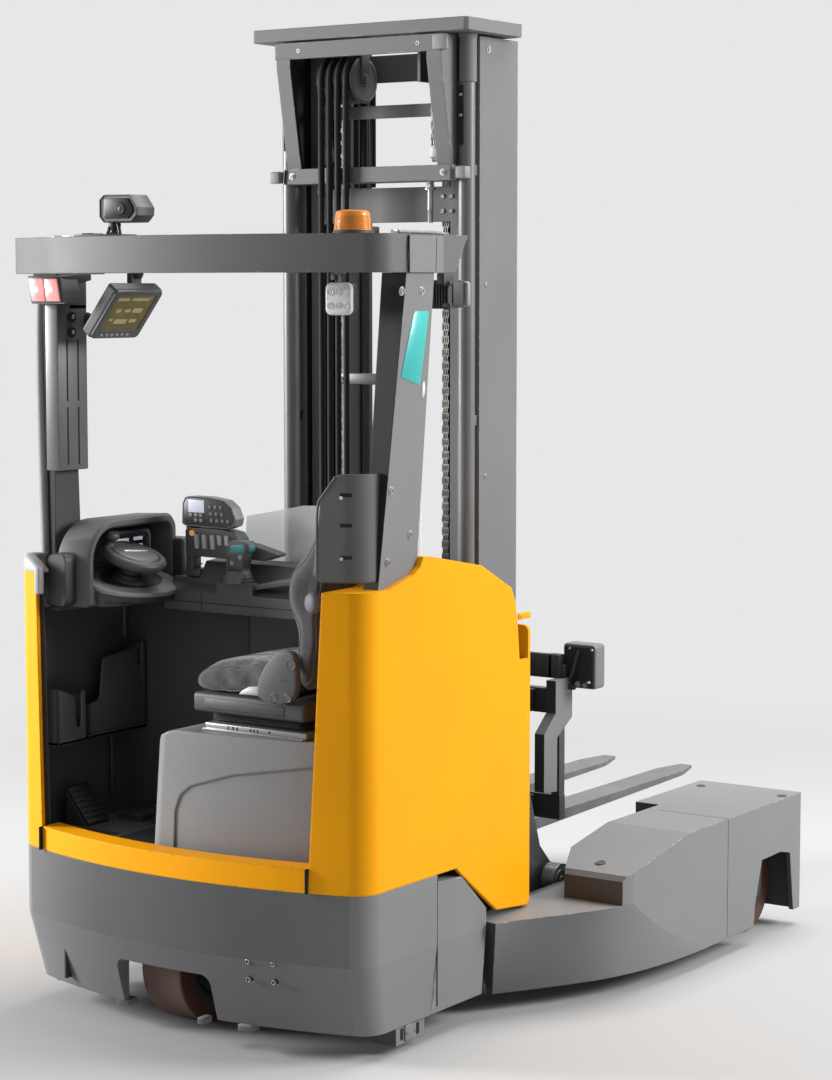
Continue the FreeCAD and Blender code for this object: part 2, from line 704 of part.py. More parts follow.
def steering_console():
    """Dashboard cowl beside the operator's feet, hollowed for the display and steering wheel."""
    left = sill_left_x - 12
    body = plate_xz([(left, storage_high_z), (-372, storage_high_z), (-362, 1182), (-364, 1206),
                     (-394, 1268), (-390, 1380), (-412, 1399), (-450, 1392), (left, 1368)],
                    cab_front_y - 395, cab_front_y - 2)
    body = rounded(body, 8, (0, 1, 0))
    recess = plate_xz([(-300, 1188), (-366, 1207), (-492, 1270), (-500, 1372), (-420, 1382),
                       (-385, 1374), (-300, 1374)], cab_front_y - 375, cab_front_y - 40)
    bore = rod(along_column(-84), along_column(0), column_r + fit_gap)
    sweep = rod(along_column(-24), along_column(60), grip_r + 30)
    body = body.cut([recess, bore, sweep])
    side_box = box(left, -434, cab_front_y - 425, cab_front_y - 394, storage_high_z + 6, 1303)
    side_box = side_box.makeFillet(14, [e for e in side_box.Edges
                                        if e.BoundBox.ZMin > 1300 and e.BoundBox.XMin > -435])
    return fuse(body, side_box).cut(left_post_room).common(cab_room)


nodes["steering_console"] = steering_console()


def steering_wheel():
    """Small dished steering disc with a spinner knob, built flat and then tilted."""
    disc = Part.makeTorus(grip_r, 14)
    hub = rod((0, 0, -12), (0, 0, 14), 46)
    web = rod((0, 0, -9), (0, 0, 3), grip_r - 2)
    knob = rod((-66, -38, -2), (-66, -38, 52), 20)
    stem = rod((0, 0, -82), (0, 0, -8), column_r)
    shape = fuse(web, disc, hub, knob, stem)
    shape.rotate(V(0, 0, 0), V(0, 1, 0), math.degrees(column_tilt))
    shape.translate(V(*steer_centre))
    return shape


nodes["steering_wheel"] = steering_wheel()


def control_console():
    """Ledge along the front wall with the joystick on its bellows."""
    ledge = plate_yz([(cab_front_y - 110, front_wall_z), (cab_front_y + 40, front_wall_z),
                      (cab_front_y + 40, 1268), (cab_front_y - 30, 1262), (cab_front_y - 70, 1200),
                      (cab_front_y - 110, 1180)], -355, sill_right_x - 20)
    ledge = ledge.cut([box(240, 900, cab_front_y - 200, cab_front_y - 20, 1100, 1500),
                       box(-360, -260, cab_front_y - 200, cab_front_y + 50, 1215, 1500)])
    y = cab_front_y - 92
    block = box(-158, -28, y - 18, y + 30, 1180, 1216)
    skirt = Part.makeCone(50, 34, 36, V(-93, y, 1214))
    stick = box(-124, -62, y - 16, y + 16, 1246, 1312)
    cap = soft_box(-114, -42, y - 24, y + 22, 1304, 1336, 10)
    return fuse(ledge, block, skirt, stick, cap)


nodes["control_console"] = control_console()


def control_pods():
    """Display pod and switch pod on one stalk over the ledge, with a wedge-shaped tail."""
    stalk = box(-318, -290, cab_front_y - 52, cab_front_y - 12, 1215, 1400)
    foot = box(-318, -262, cab_front_y - 58, cab_front_y - 2, 1215, 1240)
    display = soft_box(-318, -116, cab_front_y - 70, cab_front_y - 20, 1368, 1452, 14)
    switches = soft_box(-310, -104, cab_front_y - 66, cab_front_y - 4, 1276, 1362, 14)
    tail = plate_xz([(-128, 1278), (-128, 1322), (-75, 1320), (21, 1298), (21, 1290), (-32, 1275)],
                    cab_front_y - 58, cab_front_y - 8)
    return fuse(stalk, foot, display, switches, tail)


nodes["control_pods"] = control_pods()

screen_y = cab_front_y + 40.0
screen_low_z = 1236.0
screen_right_x = sill_right_x - 5
nodes["mast_screen"] = plate_xz([(-178, screen_low_z), (screen_right_x, screen_low_z),
                                 (screen_right_x, 1446), (40, 1432), (-165, 1392)],
                                screen_y, screen_y + 4)

# ---------------------------------------------------------------- overhead guard
guard_beam = 100.0
guard_rear_y = rear_y + 8.0
guard_front_y = cab_front_y - 30.0
guard_half = 645.0
guard_low_z = guard_height - guard_beam


def overhead_guard():
    """Ring beam with a curved rear, a front cross beam and roof bars."""
    outer = Part.Face(plan_wire(guard_half, guard_rear_y, guard_front_y, guard_low_z))
    ring = outer.extrude(V(0, 0, guard_beam))
    inner = Part.Face(plan_wire(guard_half - guard_width, guard_rear_y + guard_width,
                                guard_front_y + 5, guard_low_z - 1))
    ring = ring.cut(inner.extrude(V(0, 0, guard_beam + 2)))
    slant = plate_yz([(guard_front_y - 62, guard_low_z - 1), (guard_front_y + 2, guard_height + 1),
                      (guard_front_y + 2, guard_low_z - 1)], -700, 700)
    ring = ring.cut(slant)
    cross = box(-guard_half + guard_width - 1, guard_half - guard_width + 1, guard_front_y - 120,
                guard_front_y - 70, guard_low_z + 20, guard_height - 10)
    bars = []
    bar_count = 5
    pitch = 2 * (guard_half - guard_width) / (bar_count + 1)
    for index in range(bar_count):
        x = -guard_half + guard_width + pitch * (index + 1)
        bars.append(box(x - 14, x + 14, guard_rear_y + 40, guard_front_y - 100, guard_bar_low_z,
                        guard_height - 12))
    bars = [bar.common(outer.extrude(V(0, 0, guard_beam))) for bar in bars]
    return fuse(ring, cross, *bars)


nodes["overhead_guard"] = overhead_guard()


def guard_post(slimming):
    """Post cut away under the guard's side beam, with a lap plate outside the beam."""
    under = Part.Face(plan_wire(guard_half + fit_gap, guard_rear_y - fit_gap, guard_front_y + 5,
                                guard_low_z - fit_gap))
    post = post_body(0, slimming).cut(under.extrude(V(0, 0, guard_beam + 5)))
    x0, x1, y0, y1 = post_head
    lap = box(guard_half + fit_gap, x1, y0, y1 + 34 - slimming, guard_low_z, post_head_z)
    return fuse(post, lap)


nodes["guard_posts"] = Part.makeCompound(
    guard_post(0).Solids + mirrored(guard_post(left_post_slimming)).Solids)


# ---------------------------------------------------------------- lamps, monitor, cameras
monitor_x = -388.0
monitor_tilt = 38.0             # degrees, screen turned down towards the seat


def monitor():
    """Flat screen that faces the seat, hung from a bar of the guard by a bracket."""
    x, y, z = monitor_x, cab_front_y - 215.0, 1988.0
    case = soft_box(x - 20, x + 20, y - 126, y + 78, z - 86, z + 86, 10)
    case.rotate(V(x, y, z), V(0, 1, 0), monitor_tilt)
    neck = box(x - 20, x - 2, y + 20, y + 62, z + 10, guard_bar_low_z - 4)
    arm = box(x - 20, x + 4, y + 20, y + 62, z - 14, z + 20)
    shelf = box(x - 20, x + 8, y + 10, y + 62, guard_bar_low_z - 12, guard_bar_low_z)
    return fuse(case, arm, neck, shelf)


nodes["monitor"] = monitor()


def roof_camera():
    """Camera on a short foot and a thin plate on the guard."""
    x, y = -215.0, guard_rear_y + 75.0
    plate = box(x - 105, x + 60, y - 45, y + 30, guard_height, guard_height + 6)
    foot = rod((x + 8, y, guard_height + 5), (x + 8, y, guard_height + 40), 18)
    case = soft_box(x - 14, x + 122, y - 40, y + 40, guard_height + 35, guard_height + 111, 12)
    return fuse(plate, foot, case)


nodes["roof_camera"] = roof_camera()


def beacon():
    """Amber warning lamp on a black foot."""
    x, y = 420.0, guard_rear_y + 305.0
    plate = box(x - 60, x + 50, y - 45, y + 45, guard_height - 12, guard_height - 6)
    foot = rod((x, y, guard_height - 6), (x, y, guard_height + 12), 56)
    dome = Part.makeCone(52, 46, 55, V(x, y, guard_height + 12))
    dome = dome.makeFillet(8, [e for e in dome.Edges if e.BoundBox.ZMin > guard_height + 60])
    return fuse(plate, foot, dome)


nodes["beacon"] = beacon()


def tail_lamp():
    left, right = -600.0, -462.0
    y = cab_front_y - 360.0
    case = plate_xz([(left, guard_low_z - 6), (right - 16, guard_low_z - 6), (right, guard_low_z - 84),
                     (left + 14, guard_low_z - 84)], y - 40, y + 30)
    stay = box(left + 20, right - 30, y - 38, y + 20, guard_low_z - 7, guard_low_z)
    return fuse(case, stay)


nodes["tail_lamp"] = tail_lamp()


def work_lamps():
    """White lamp under the rear beam and a finned lamp under the right-hand side beam."""
    x, y = 501.0, guard_rear_y + 145.0
    white = soft_box(x - 35, x + 35, y - 26, y + 26, guard_low_z - 112, guard_low_z - 24, 12)
    stay = box(x - 12, x + 12, y - 10, y + 10, guard_low_z - 40, guard_low_z)
    fx, fy = guard_half - 80, guard_front_y + 20.0
    fin = soft_box(fx - 48, fx + 48, fy - 60, fy + 60, guard_low_z - 100, guard_low_z - 18, 8)
    hook = box(fx + 20, fx + 44, fy - 100, fy - 50, guard_low_z - 40, guard_low_z)
    return Part.makeCompound([fuse(white, stay), fuse(fin, hook)])


nodes["work_lamps"] = work_lamps()


# ---------------------------------------------------------------- reach carriage
plate_out_x = rail_inner_x - 13.0
plate_in_x = plate_out_x - reach_plate
reach_rear_y = mast_rear_y - 110.0
reach_cylinder_front_y = reach_rear_y - 14.0


def reach_carriage():
    """Two mast-foot plates tied by cross beams, with roller pins and the reach rod."""
    outline = [(reach_rear_y, 215), (reach_front_roller_y + 46, 215),
               (reach_front_roller_y + 46, 300), (mast_rear_y + 190, 380),
               (mast_rear_y + 128, 560), (mast_rear_y + 108, 760), (mast_rear_y + 20, 820),
               (reach_rear_y, 700)]
    parts = []
    for side in (-1, 1):
        x0 = min(side * plate_in_x, side * plate_out_x)
        parts.append(plate_yz(outline, x0, x0 + reach_plate))
        for y in (reach_front_roller_y, reach_rear_roller_y):
            parts.append(rod((side * (plate_out_x - 5), y, reach_roller_z),
                             (side * (rail_inner_x + reach_roller_w - 4), y, reach_roller_z), 20))
        for z in (260, 640):
            a = side * mast_half
            b = side * (plate_in_x + 1)
            parts.append(box(min(a, b), max(a, b), mast_rear_y + 10, mast_rear_y + 90, z, z + 100))
    parts.append(box(-plate_in_x - 1, plate_in_x + 1, reach_rear_y, mast_rear_y - 66, 200, 290))
    parts.append(box(-plate_in_x - 1, plate_in_x + 1, reach_rear_y, mast_rear_y - 66, 560, 640))
    lug = box(reach_cylinder_x - 30, reach_cylinder_x + 30, reach_rear_y, mast_rear_y - 66, 120, 210)
    parts.append(lug)
    parts.append(rod((reach_cylinder_x, reach_cylinder_front_y - reach_travel - 40, reach_cylinder_z),
                     (reach_cylinder_x, reach_rear_y + 5, reach_cylinder_z), reach_rod_r))
    return fuse(*parts)


reach_body = reach_carriage()


def reach_rollers():
    rollers = []
    for side in (-1, 1):
        for y in (reach_front_roller_y, reach_rear_roller_y):
            a = (side * rail_inner_x, y, reach_roller_z)
            b = (side * (rail_inner_x + reach_roller_w), y, reach_roller_z)
            tyre = rod(a, b, reach_roller_d / 2)
            pin = rod((side * (rail_inner_x - 60), y, reach_roller_z),
                      (side * (rail_inner_x + reach_roller_w + 5), y, reach_roller_z), 20.1)
            rollers.append(tyre.cut(pin))
    return Part.makeCompound(rollers)


nodes["reach_rollers"] = reach_rollers()


def reach_cylinder():
    rear = reach_cylinder_front_y - reach_travel - 70
    barrel = rod((reach_cylinder_x, rear, reach_cylinder_z),
                 (reach_cylinder_x, reach_cylinder_front_y, reach_cylinder_z), reach_cylinder_r)
    bore = rod((reach_cylinder_x, rear + 20, reach_cylinder_z),
               (reach_cylinder_x, reach_cylinder_front_y + 1, reach_cylinder_z), reach_rod_r + 0.3)
    return barrel.cut(bore)


nodes["reach_cylinder"] = reach_cylinder()


# ---------------------------------------------------------------- mast
stage_top_z = mast_height - crown_thickness
outer_top_z = stage_top_z - move_gap
outer_flange = 60.0
outer_flange_t = 20.0
middle_half = mast_half - outer_flange - 7.0
middle_rear_y = mast_rear_y + 16.0
middle_front_y = mast_front_y - 10.0
middle_flange = 45.0
middle_flange_t = 18.0
inner_half = middle_half - middle_flange - 7.0
inner_rear_y = mast_rear_y + 71.0
inner_front_y = mast_front_y
inner_flange = 40.0
inner_flange_t = 16.0
middle_foot_z = mast_foot_z + 20
inner_foot_z = mast_foot_z + 40
lift_travel = stage_top_z - 780.0    # the rod's foot stays inside its barrel
chain_x = 194.0
chain_rear_y = mast_rear_y - 8.0
chain_front_y = mast_rear_y + 52.0
lift_x = 318.0
lift_y = mast_rear_y - 30.6
lift_barrel_r = 25.0
lift_rod_r = 17.0
crossbar_low_z = stage_top_z - 420.0
crossbar_high_z = crossbar_low_z + 45.0
barrel_top_z = stage_top_z - 80.0


def channel(half, web, flange, flange_t, y0, y1, z0, z1):
    """Right-hand mast channel, open towards the middle."""
    back = box(half - web, half, y0, y1, z0, z1)
    rear = box(half - flange, half, y0, y0 + flange_t, z0, z1)
    front = box(half - flange, half, y1 - flange_t, y1, z0, z1)
    return back.fuse([rear, front]).removeSplitter()


def both(shape):
    return [shape, mirrored(shape)]


def mast_outer():
    """Outer channels with the rear portal at the top, its lower crossbar and the foot."""
    parts = both(channel(mast_half, 14.0, outer_flange, outer_flange_t, mast_rear_y, mast_front_y,
                         mast_foot_z, outer_top_z))
    portal_front = mast_rear_y + 1
    beam_low = outer_top_z - 48
    parts.append(box(-300, 300, crown_rear_y + 4, crown_rear_y + 16, beam_low, outer_top_z))
    gusset = plate_yz([(crown_rear_y + 4, outer_top_z), (portal_front, outer_top_z),
                       (portal_front, crossbar_low_z), (crown_rear_y + 70, crossbar_low_z),
                       (crown_rear_y + 50, crossbar_low_z + 90), (crown_rear_y + 4, outer_top_z - 70)],
                      283, 295)
    flange = plate_yz([(crown_rear_y + 4, outer_top_z), (crown_rear_y + 16, outer_top_z),
                       (crown_rear_y + 16, outer_top_z - 70), (crown_rear_y + 62, crossbar_low_z + 90),
                       (crown_rear_y + 82, crossbar_low_z), (crown_rear_y + 70, crossbar_low_z),
                       (crown_rear_y + 50, crossbar_low_z + 90), (crown_rear_y + 4, outer_top_z - 70)],
                      245, 295)
    parts += both(gusset) + both(flange)
    parts.append(box(-302, 302, crown_rear_y + 49, mast_rear_y + 6, crossbar_low_z, crossbar_high_z))
    foot_bar = box(-mast_half, mast_half, mast_rear_y - 50, mast_rear_y + 1, mast_foot_z + 10, 260)
    parts.append(foot_bar)
    for z in (900.0, 1650.0, crossbar_low_z + 15):
        clamp = box(300, 336, lift_y - 12, mast_rear_y + 1, z, z + 30)
        parts += both(clamp)
    frame = fuse(*parts)
    holes = [rod((side * lift_x, lift_y, 205), (side * lift_x, lift_y, barrel_top_z + 40), lift_barrel_r + 0.2)
             for side in (-1, 1)]
    frame = frame.cut(holes)
    return frame


nodes["mast_outer"] = mast_outer()


def lift_cylinders():
    barrel = rod((lift_x, lift_y, 205.2), (lift_x, lift_y, barrel_top_z), lift_barrel_r)
    bore = rod((lift_x, lift_y, 240), (lift_x, lift_y, barrel_top_z + 1), lift_rod_r + 0.3)
    return pair(barrel.cut(bore))


nodes["lift_cylinders"] = lift_cylinders()


def lift_rods():
    return pair(rod((lift_x, lift_y, stage_top_z - lift_travel - 350), (lift_x, lift_y, stage_top_z),
                    lift_rod_r))


nodes["lift_rods"] = lift_rods()


def roller(x0, x1, y, z, diameter):
    return rod((x0, y, z), (x1, y, z), diameter / 2)


def mast_middle():
    """Middle channels under the U-shaped crown, cross members and guide rollers."""
    parts = both(channel(middle_half, channel_web, middle_flange, middle_flange_t, middle_rear_y,
                         middle_front_y, middle_foot_z, stage_top_z + 1))
    arm_in = middle_half - middle_flange
    crown = plate_xy([(-crown_half, crown_rear_y + 10), (-crown_half + 10, crown_rear_y),
                      (crown_half - 10, crown_rear_y), (crown_half, crown_rear_y + 10),
                      (crown_half, mast_front_y - 46), (crown_half - 34, mast_front_y - 28),
                      (arm_in, mast_front_y - 28), (arm_in, mast_rear_y - 4),
                      (-arm_in, mast_rear_y - 4), (-arm_in, mast_front_y - 28),
                      (-crown_half + 34, mast_front_y - 28), (-crown_half, mast_front_y - 46)],
                     stage_top_z, mast_height)
    parts.append(crown)
    for z0, z1 in ((stage_top_z - 536, stage_top_z - 433), (stage_top_z - 228, stage_top_z - 190),
                   (middle_foot_z + 10, middle_foot_z + 90)):
        parts.append(box(-middle_half + 1, middle_half - 1, middle_rear_y, middle_rear_y + 8, z0, z1))
    inner_depth = mast_depth - 2 * outer_flange_t
    roller_d = inner_depth - 2 * fit_gap
    y = (mast_rear_y + mast_front_y) / 2
    for z in (middle_foot_z + 100, middle_foot_z + 450):
        pin = rod((middle_half - 3, y, z), (mast_half - outer_flange + 3, y, z), 22)
        parts += both(pin)
        parts += both(roller(mast_half - outer_flange + 2, mast_half - 14 - 4, y, z, roller_d))
    return fuse(*parts)


nodes["mast_middle"] = mast_middle()


def mast_inner():
    """Inner channels with cross members and guide rollers."""
    top = stage_top_z - 8
    parts = both(channel(inner_half, channel_web, inner_flange, inner_flange_t, inner_rear_y,
                         inner_front_y, inner_foot_z, top))
    for z0, z1 in ((top - 110, top - 30), (inner_foot_z + 10, inner_foot_z + 110)):
        parts.append(box(-inner_half + 1, inner_half - 1, inner_rear_y, inner_rear_y + 14, z0, z1))
    roller_d = middle_front_y - middle_rear_y - 2 * middle_flange_t - 2 * fit_gap
    y = (middle_rear_y + middle_front_y) / 2
    for z in (inner_foot_z + 90, inner_foot_z + 450):
        pin = rod((inner_half - 3, y, z), (middle_half - middle_flange + 3, y, z), 20)
        parts += both(pin)
        parts += both(roller(middle_half - middle_flange + 2, middle_half - channel_web - 3, y, z,
                             roller_d))
    return fuse(*parts)


nodes["mast_inner"] = mast_inner()

sheave_z = stage_top_z - 65.0
chain_w = 26.0
chain_t = 14.0


def lift_chains():
    """Chain runs behind the inner channels, over the chain sheaves."""
    y = (chain_rear_y + chain_front_y) / 2
    pitch_r = (chain_front_y - chain_rear_y) / 2
    front = box(chain_x - chain_w / 2, chain_x + chain_w / 2, chain_front_y - chain_t / 2,
                chain_front_y + chain_t / 2, inner_foot_z + 130, sheave_z)
    rear = box(chain_x - chain_w / 2, chain_x + chain_w / 2, chain_rear_y - chain_t / 2,
               chain_rear_y + chain_t / 2, crossbar_high_z + 12, sheave_z)
    over = rod((chain_x - chain_w / 2, y, sheave_z), (chain_x + chain_w / 2, y, sheave_z),
               pitch_r + chain_t / 2)
    hole = rod((chain_x - chain_w, y, sheave_z), (chain_x + chain_w, y, sheave_z), pitch_r - chain_t / 2)
    over = over.cut([hole, box(0, 400, y - 90, y + 90, sheave_z - 90, sheave_z)])
    return pair(fuse(front, rear, over))


nodes["lift_chains"] = lift_chains()

hose_pulley_d = 138.0          # between the hose centres of the two runs
hose_pulley_y = mast_rear_y - 34.0
hose_pulley_z = stage_top_z - 117.0
hose_r = 9.0
hose_x = [-150.0, -120.0, -90.0, -60.0]


def hose_pulleys():
    """Chain sheaves and the hose pulley pack on their brackets under the crown."""
    y = (chain_rear_y + chain_front_y) / 2
    sheave_r = (chain_front_y - chain_rear_y) / 2 - chain_t / 2 - fit_gap
    sheaves = []
    for side in (1, -1):
        disc = rod((side * (chain_x - 12), y, sheave_z), (side * (chain_x + 12), y, sheave_z), sheave_r)
        pin = rod((side * (chain_x - 26), y, sheave_z), (side * (chain_x + 20), y, sheave_z), 9)
        a = side * (chain_x - 28)
        b = side * (chain_x - 18)
        bracket = box(min(a, b), max(a, b), mast_rear_y - 60, y + 12, hose_pulley_z - 16, stage_top_z)
        sheaves.append(fuse(disc, pin, bracket))
    first = hose_x[0]
    last = hose_x[-1]
    parts = [sheaves[1]]
    parts.append(rod((first - 20, hose_pulley_y, hose_pulley_z), (last + 30, hose_pulley_y, hose_pulley_z), 12))
    for x in hose_x:
        parts.append(rod((x - 13, hose_pulley_y, hose_pulley_z), (x + 13, hose_pulley_y, hose_pulley_z),
                         hose_pulley_d / 2 - hose_r - fit_gap))
    parts.append(box(last + 16, last + 24, hose_pulley_y - 20, hose_pulley_y + 20, hose_pulley_z - 16,
                     stage_top_z))
    return Part.makeCompound([sheaves[0], fuse(*parts)])


nodes["hose_pulleys"] = hose_pulleys()


def mast_hoses():
    """Hoses that rise behind the mast, pass over the pulleys and run down to the carriage."""
    hoses = []
    reach = hose_pulley_d / 2
    for x in hose_x:
        rear_y_hose = hose_pulley_y - reach
        front_y_hose = hose_pulley_y + reach
        path = Part.Wire([
            Part.LineSegment(V(x, rear_y_hose, 700), V(x, rear_y_hose, hose_pulley_z)).toShape(),
            Part.Arc(V(x, rear_y_hose, hose_pulley_z), V(x, hose_pulley_y, hose_pulley_z + reach),
                     V(x, front_y_hose, hose_pulley_z)).toShape(),
            Part.LineSegment(V(x, front_y_hose, hose_pulley_z), V(x, front_y_hose, stage_top_z - 430)).toShape(),
        ])
        ring = Part.Wire(Part.makeCircle(hose_r, V(x, rear_y_hose, 700), V(0, 0, 1)))
        hoses.append(path.makePipeShell([ring], True, True))
    return Part.makeCompound(hoses)


nodes["mast_hoses"] = mast_hoses()


# ---------------------------------------------------------------- fork carriage and forks
plate_half = inner_half - inner_flange - 6.0
plate_t = 22.0
slide_y = (inner_rear_y + inner_front_y) / 2
lower_bar_z = fork_bottom_z + carriage_drop
upper_bar_z = lower_bar_z + carriage_height
bar_height = 76.0
bar_thickness = 32.0
shank_t = 42.0
shank_front_y = fork_face_y
shank_rear_y = shank_front_y - shank_t
bar_front_y = shank_rear_y - fit_gap
bar_rear_y = bar_front_y - bar_thickness
tilt_front_y = bar_rear_y - fit_gap
tilt_rear_y = tilt_front_y - 40.0
tilt_pin_y = mast_front_y + 90.0
tilt_pin_z = lower_bar_z + 45.0
tilt_pin_r = 16.0
lift_low_z = lower_bar_z
lift_high_z = upper_bar_z + 40


def lift_carriage():
    """Carriage that climbs the inner stage: two side plates on rollers and a cross plate."""
    parts = []
    for side in (-1, 1):
        a = side * plate_half
        b = side * (plate_half - plate_t)
        parts.append(plate_yz([(slide_y - 44, lift_low_z), (tilt_pin_y + 30, lift_low_z),
                               (tilt_pin_y + 30, lift_low_z + 90), (mast_front_y + 40, lift_low_z + 150),
                               (mast_front_y + 40, lift_high_z), (slide_y - 44, lift_high_z)],
                              min(a, b), max(a, b)))
        for z in (lift_low_z + 60, lift_high_z - 60):
            parts.append(rod((side * (plate_half - 5), slide_y, z),
                             (side * (inner_half - inner_flange + 4), slide_y, z), 18))
            parts.append(roller(side * (inner_half - inner_flange + 2),
                                side * (inner_half - channel_web - 3), slide_y, z,
                                inner_front_y - inner_rear_y - 2 * inner_flange_t - 2 * fit_gap))
    for z in (lift_low_z + 10, lift_high_z - 90):
        parts.append(box(-plate_half + 1, plate_half - 1, mast_front_y - 40, mast_front_y - 20, z, z + 80))
    body = fuse(*parts)
    return body.cut(rod((-carriage_half, tilt_pin_y, tilt_pin_z), (carriage_half, tilt_pin_y, tilt_pin_z),
                        tilt_pin_r + 0.05))


nodes["lift_carriage"] = lift_carriage()


def tilt_frame():
    """Frame that tilts on the lift carriage's pin and carries the side-shift bars."""
    parts = [rod((-plate_half - 30, tilt_pin_y, tilt_pin_z), (plate_half + 30, tilt_pin_y, tilt_pin_z),
                 tilt_pin_r)]
    for side in (-1, 1):
        a = side * (plate_half + 6)
        b = side * (plate_half + 30)
        parts.append(plate_yz([(tilt_pin_y - 24, lower_bar_z + 14), (tilt_front_y, lower_bar_z + 4),
                               (tilt_front_y, upper_bar_z - 4), (tilt_rear_y, upper_bar_z - 4),
                               (tilt_rear_y, tilt_pin_z + 90), (tilt_pin_y - 24, tilt_pin_z + 28)],
                              min(a, b), max(a, b)))
    for z in (lower_bar_z + 4, upper_bar_z - bar_height + 4):
        parts.append(box(-carriage_half + 90, carriage_half - 90, tilt_front_y - 24, tilt_front_y,
                         z, z + bar_height - 8))
    return fuse(*parts)


nodes["tilt_frame"] = tilt_frame()


def fork_carriage():
    """Side-shifting frame: two fork bars joined by end plates and inner uprights."""
    parts = []
    for z in (lower_bar_z, upper_bar_z - bar_height):
        parts.append(box(-carriage_half, carriage_half, bar_rear_y, bar_front_y, z, z + bar_height))
    for side in (-1, 1):
        for x in (carriage_half - 30, 190.0):
            a = side * x
            b = side * (x + 28)
            parts.append(box(min(a, b), max(a, b), bar_rear_y, bar_front_y, lower_bar_z, upper_bar_z))
    return fuse(*parts)


nodes["fork_carriage"] = fork_carriage()


def fork(x):
    """One fork arm: tapered blade, heel and upright shank with its top hook."""
    blade = plate_yz([(shank_rear_y, fork_bottom_z), (tips_y - 60, fork_bottom_z + 26),
                      (tips_y, fork_bottom_z + 30), (tips_y, fork_bottom_z + fork_thickness),
                      (shank_rear_y, fork_bottom_z + fork_thickness)],
                     x - fork_width / 2, x + fork_width / 2)
    nose = plate_xy([(x - fork_width / 2, shank_rear_y - 5), (x + fork_width / 2, shank_rear_y - 5),
                     (x + fork_width / 2, tips_y - 120), (x + 22, tips_y), (x - 22, tips_y),
                     (x - fork_width / 2, tips_y - 120)], 0, 1000)
    blade = blade.common(nose)
    shank = box(x - fork_width / 2, x + fork_width / 2, shank_rear_y, shank_front_y, fork_bottom_z,
                upper_bar_z + 16)
    hook = box(x - fork_width / 2 + 8, x + fork_width / 2 - 8, bar_rear_y + 8, shank_rear_y + 1,
               upper_bar_z + fit_gap, upper_bar_z + 16)
    return fuse(blade, shank, hook)


nodes["fork_right"] = fork(fork_half_spacing)
nodes["fork_left"] = fork(-fork_half_spacing)


def carriage_camera():
    """Camera box on a cranked stay at the right-hand end of the fork bars."""
    x = carriage_half
    case = soft_box(x + 4, x + 120, bar_rear_y + 6, bar_rear_y + 72, upper_bar_z + 8, upper_bar_z + 146, 12)
    stay = plate_yz([(bar_rear_y - 148, lower_bar_z + 112), (bar_rear_y - 72, lower_bar_z + 104),
                     (bar_rear_y - 72, upper_bar_z - 136), (bar_rear_y + 16, upper_bar_z - 82),
                     (bar_rear_y + 16, upper_bar_z + 40), (bar_rear_y - 82, upper_bar_z + 40),
                     (bar_rear_y - 82, upper_bar_z - 60), (bar_rear_y - 148, upper_bar_z - 116)],
                    x, x + 34)
    return fuse(case, stay)


nodes["carriage_camera"] = carriage_camera()
nodes["reach_carriage"] = reach_body

# ---------------------------------------------------------------- export
for name, shape in nodes.items():
    shape.exportStep("parts/" + name + ".step")
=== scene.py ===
import json
import math

import bmesh
import bpy
from mathutils import Matrix, Vector


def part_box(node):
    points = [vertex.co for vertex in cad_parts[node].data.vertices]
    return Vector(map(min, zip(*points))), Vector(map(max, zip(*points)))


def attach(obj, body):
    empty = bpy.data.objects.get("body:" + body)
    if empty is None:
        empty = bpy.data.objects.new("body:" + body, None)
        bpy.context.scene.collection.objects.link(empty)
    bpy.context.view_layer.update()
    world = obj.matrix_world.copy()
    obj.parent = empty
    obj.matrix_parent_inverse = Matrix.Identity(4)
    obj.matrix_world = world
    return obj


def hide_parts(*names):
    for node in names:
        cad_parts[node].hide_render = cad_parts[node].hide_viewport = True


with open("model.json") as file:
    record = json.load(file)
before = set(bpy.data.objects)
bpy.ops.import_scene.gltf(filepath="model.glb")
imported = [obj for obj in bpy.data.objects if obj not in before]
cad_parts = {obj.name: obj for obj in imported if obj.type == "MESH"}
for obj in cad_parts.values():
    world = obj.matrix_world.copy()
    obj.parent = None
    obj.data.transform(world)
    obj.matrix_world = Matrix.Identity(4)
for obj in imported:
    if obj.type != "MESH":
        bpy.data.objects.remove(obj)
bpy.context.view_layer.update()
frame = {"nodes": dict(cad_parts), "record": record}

NODES = frame["nodes"]
SLOTS = {s["node"]: s["material_slot"] for s in frame["record"]["subparts"]}


# ------------------------------------------------------------------ shader steps
def add(tree, kind, inputs, **settings):
    """A shader node whose inputs are values or other nodes' sockets, by name or number."""
    made = tree.nodes.new("ShaderNode" + kind)
    for key, value in settings.items():
        setattr(made, key, value)
    for key, value in inputs.items():
        if isinstance(value, bpy.types.NodeSocket):
            tree.links.new(value, made.inputs[key])
        else:
            made.inputs[key].default_value = value
    return made


def maths(tree, operation, *values):
    """The outcome of one sum on numbers or sockets."""
    return add(tree, "Math", dict(enumerate(values)), operation=operation).outputs[0]


def vectors(tree, operation, *values):
    """The outputs of one sum on vectors: 0 is a vector and "Value" a number."""
    return add(tree, "VectorMath", dict(enumerate(values)), operation=operation).outputs


def scaled(tree, colour, amount):
    """A colour made darker or lighter by an amount."""
    return add(tree, "VectorMath", {0: colour, "Scale": amount}, operation="SCALE").outputs[0]


def stretch(tree, value, start, full, low=0.0, high=1.0, **settings):
    """The span from start to full, mapped to low to high."""
    inputs = {"Value": value, "From Min": start, "From Max": full, "To Min": low, "To Max": high}
    return add(tree, "MapRange", inputs, **settings).outputs[0]


def place_in(tree, kind="Object"):
    """The object's own coordinates or normal."""
    return add(tree, "TexCoord", {}).outputs[kind]


def split(tree, vector):
    """A vector's three numbers."""
    return add(tree, "SeparateXYZ", {0: vector}).outputs


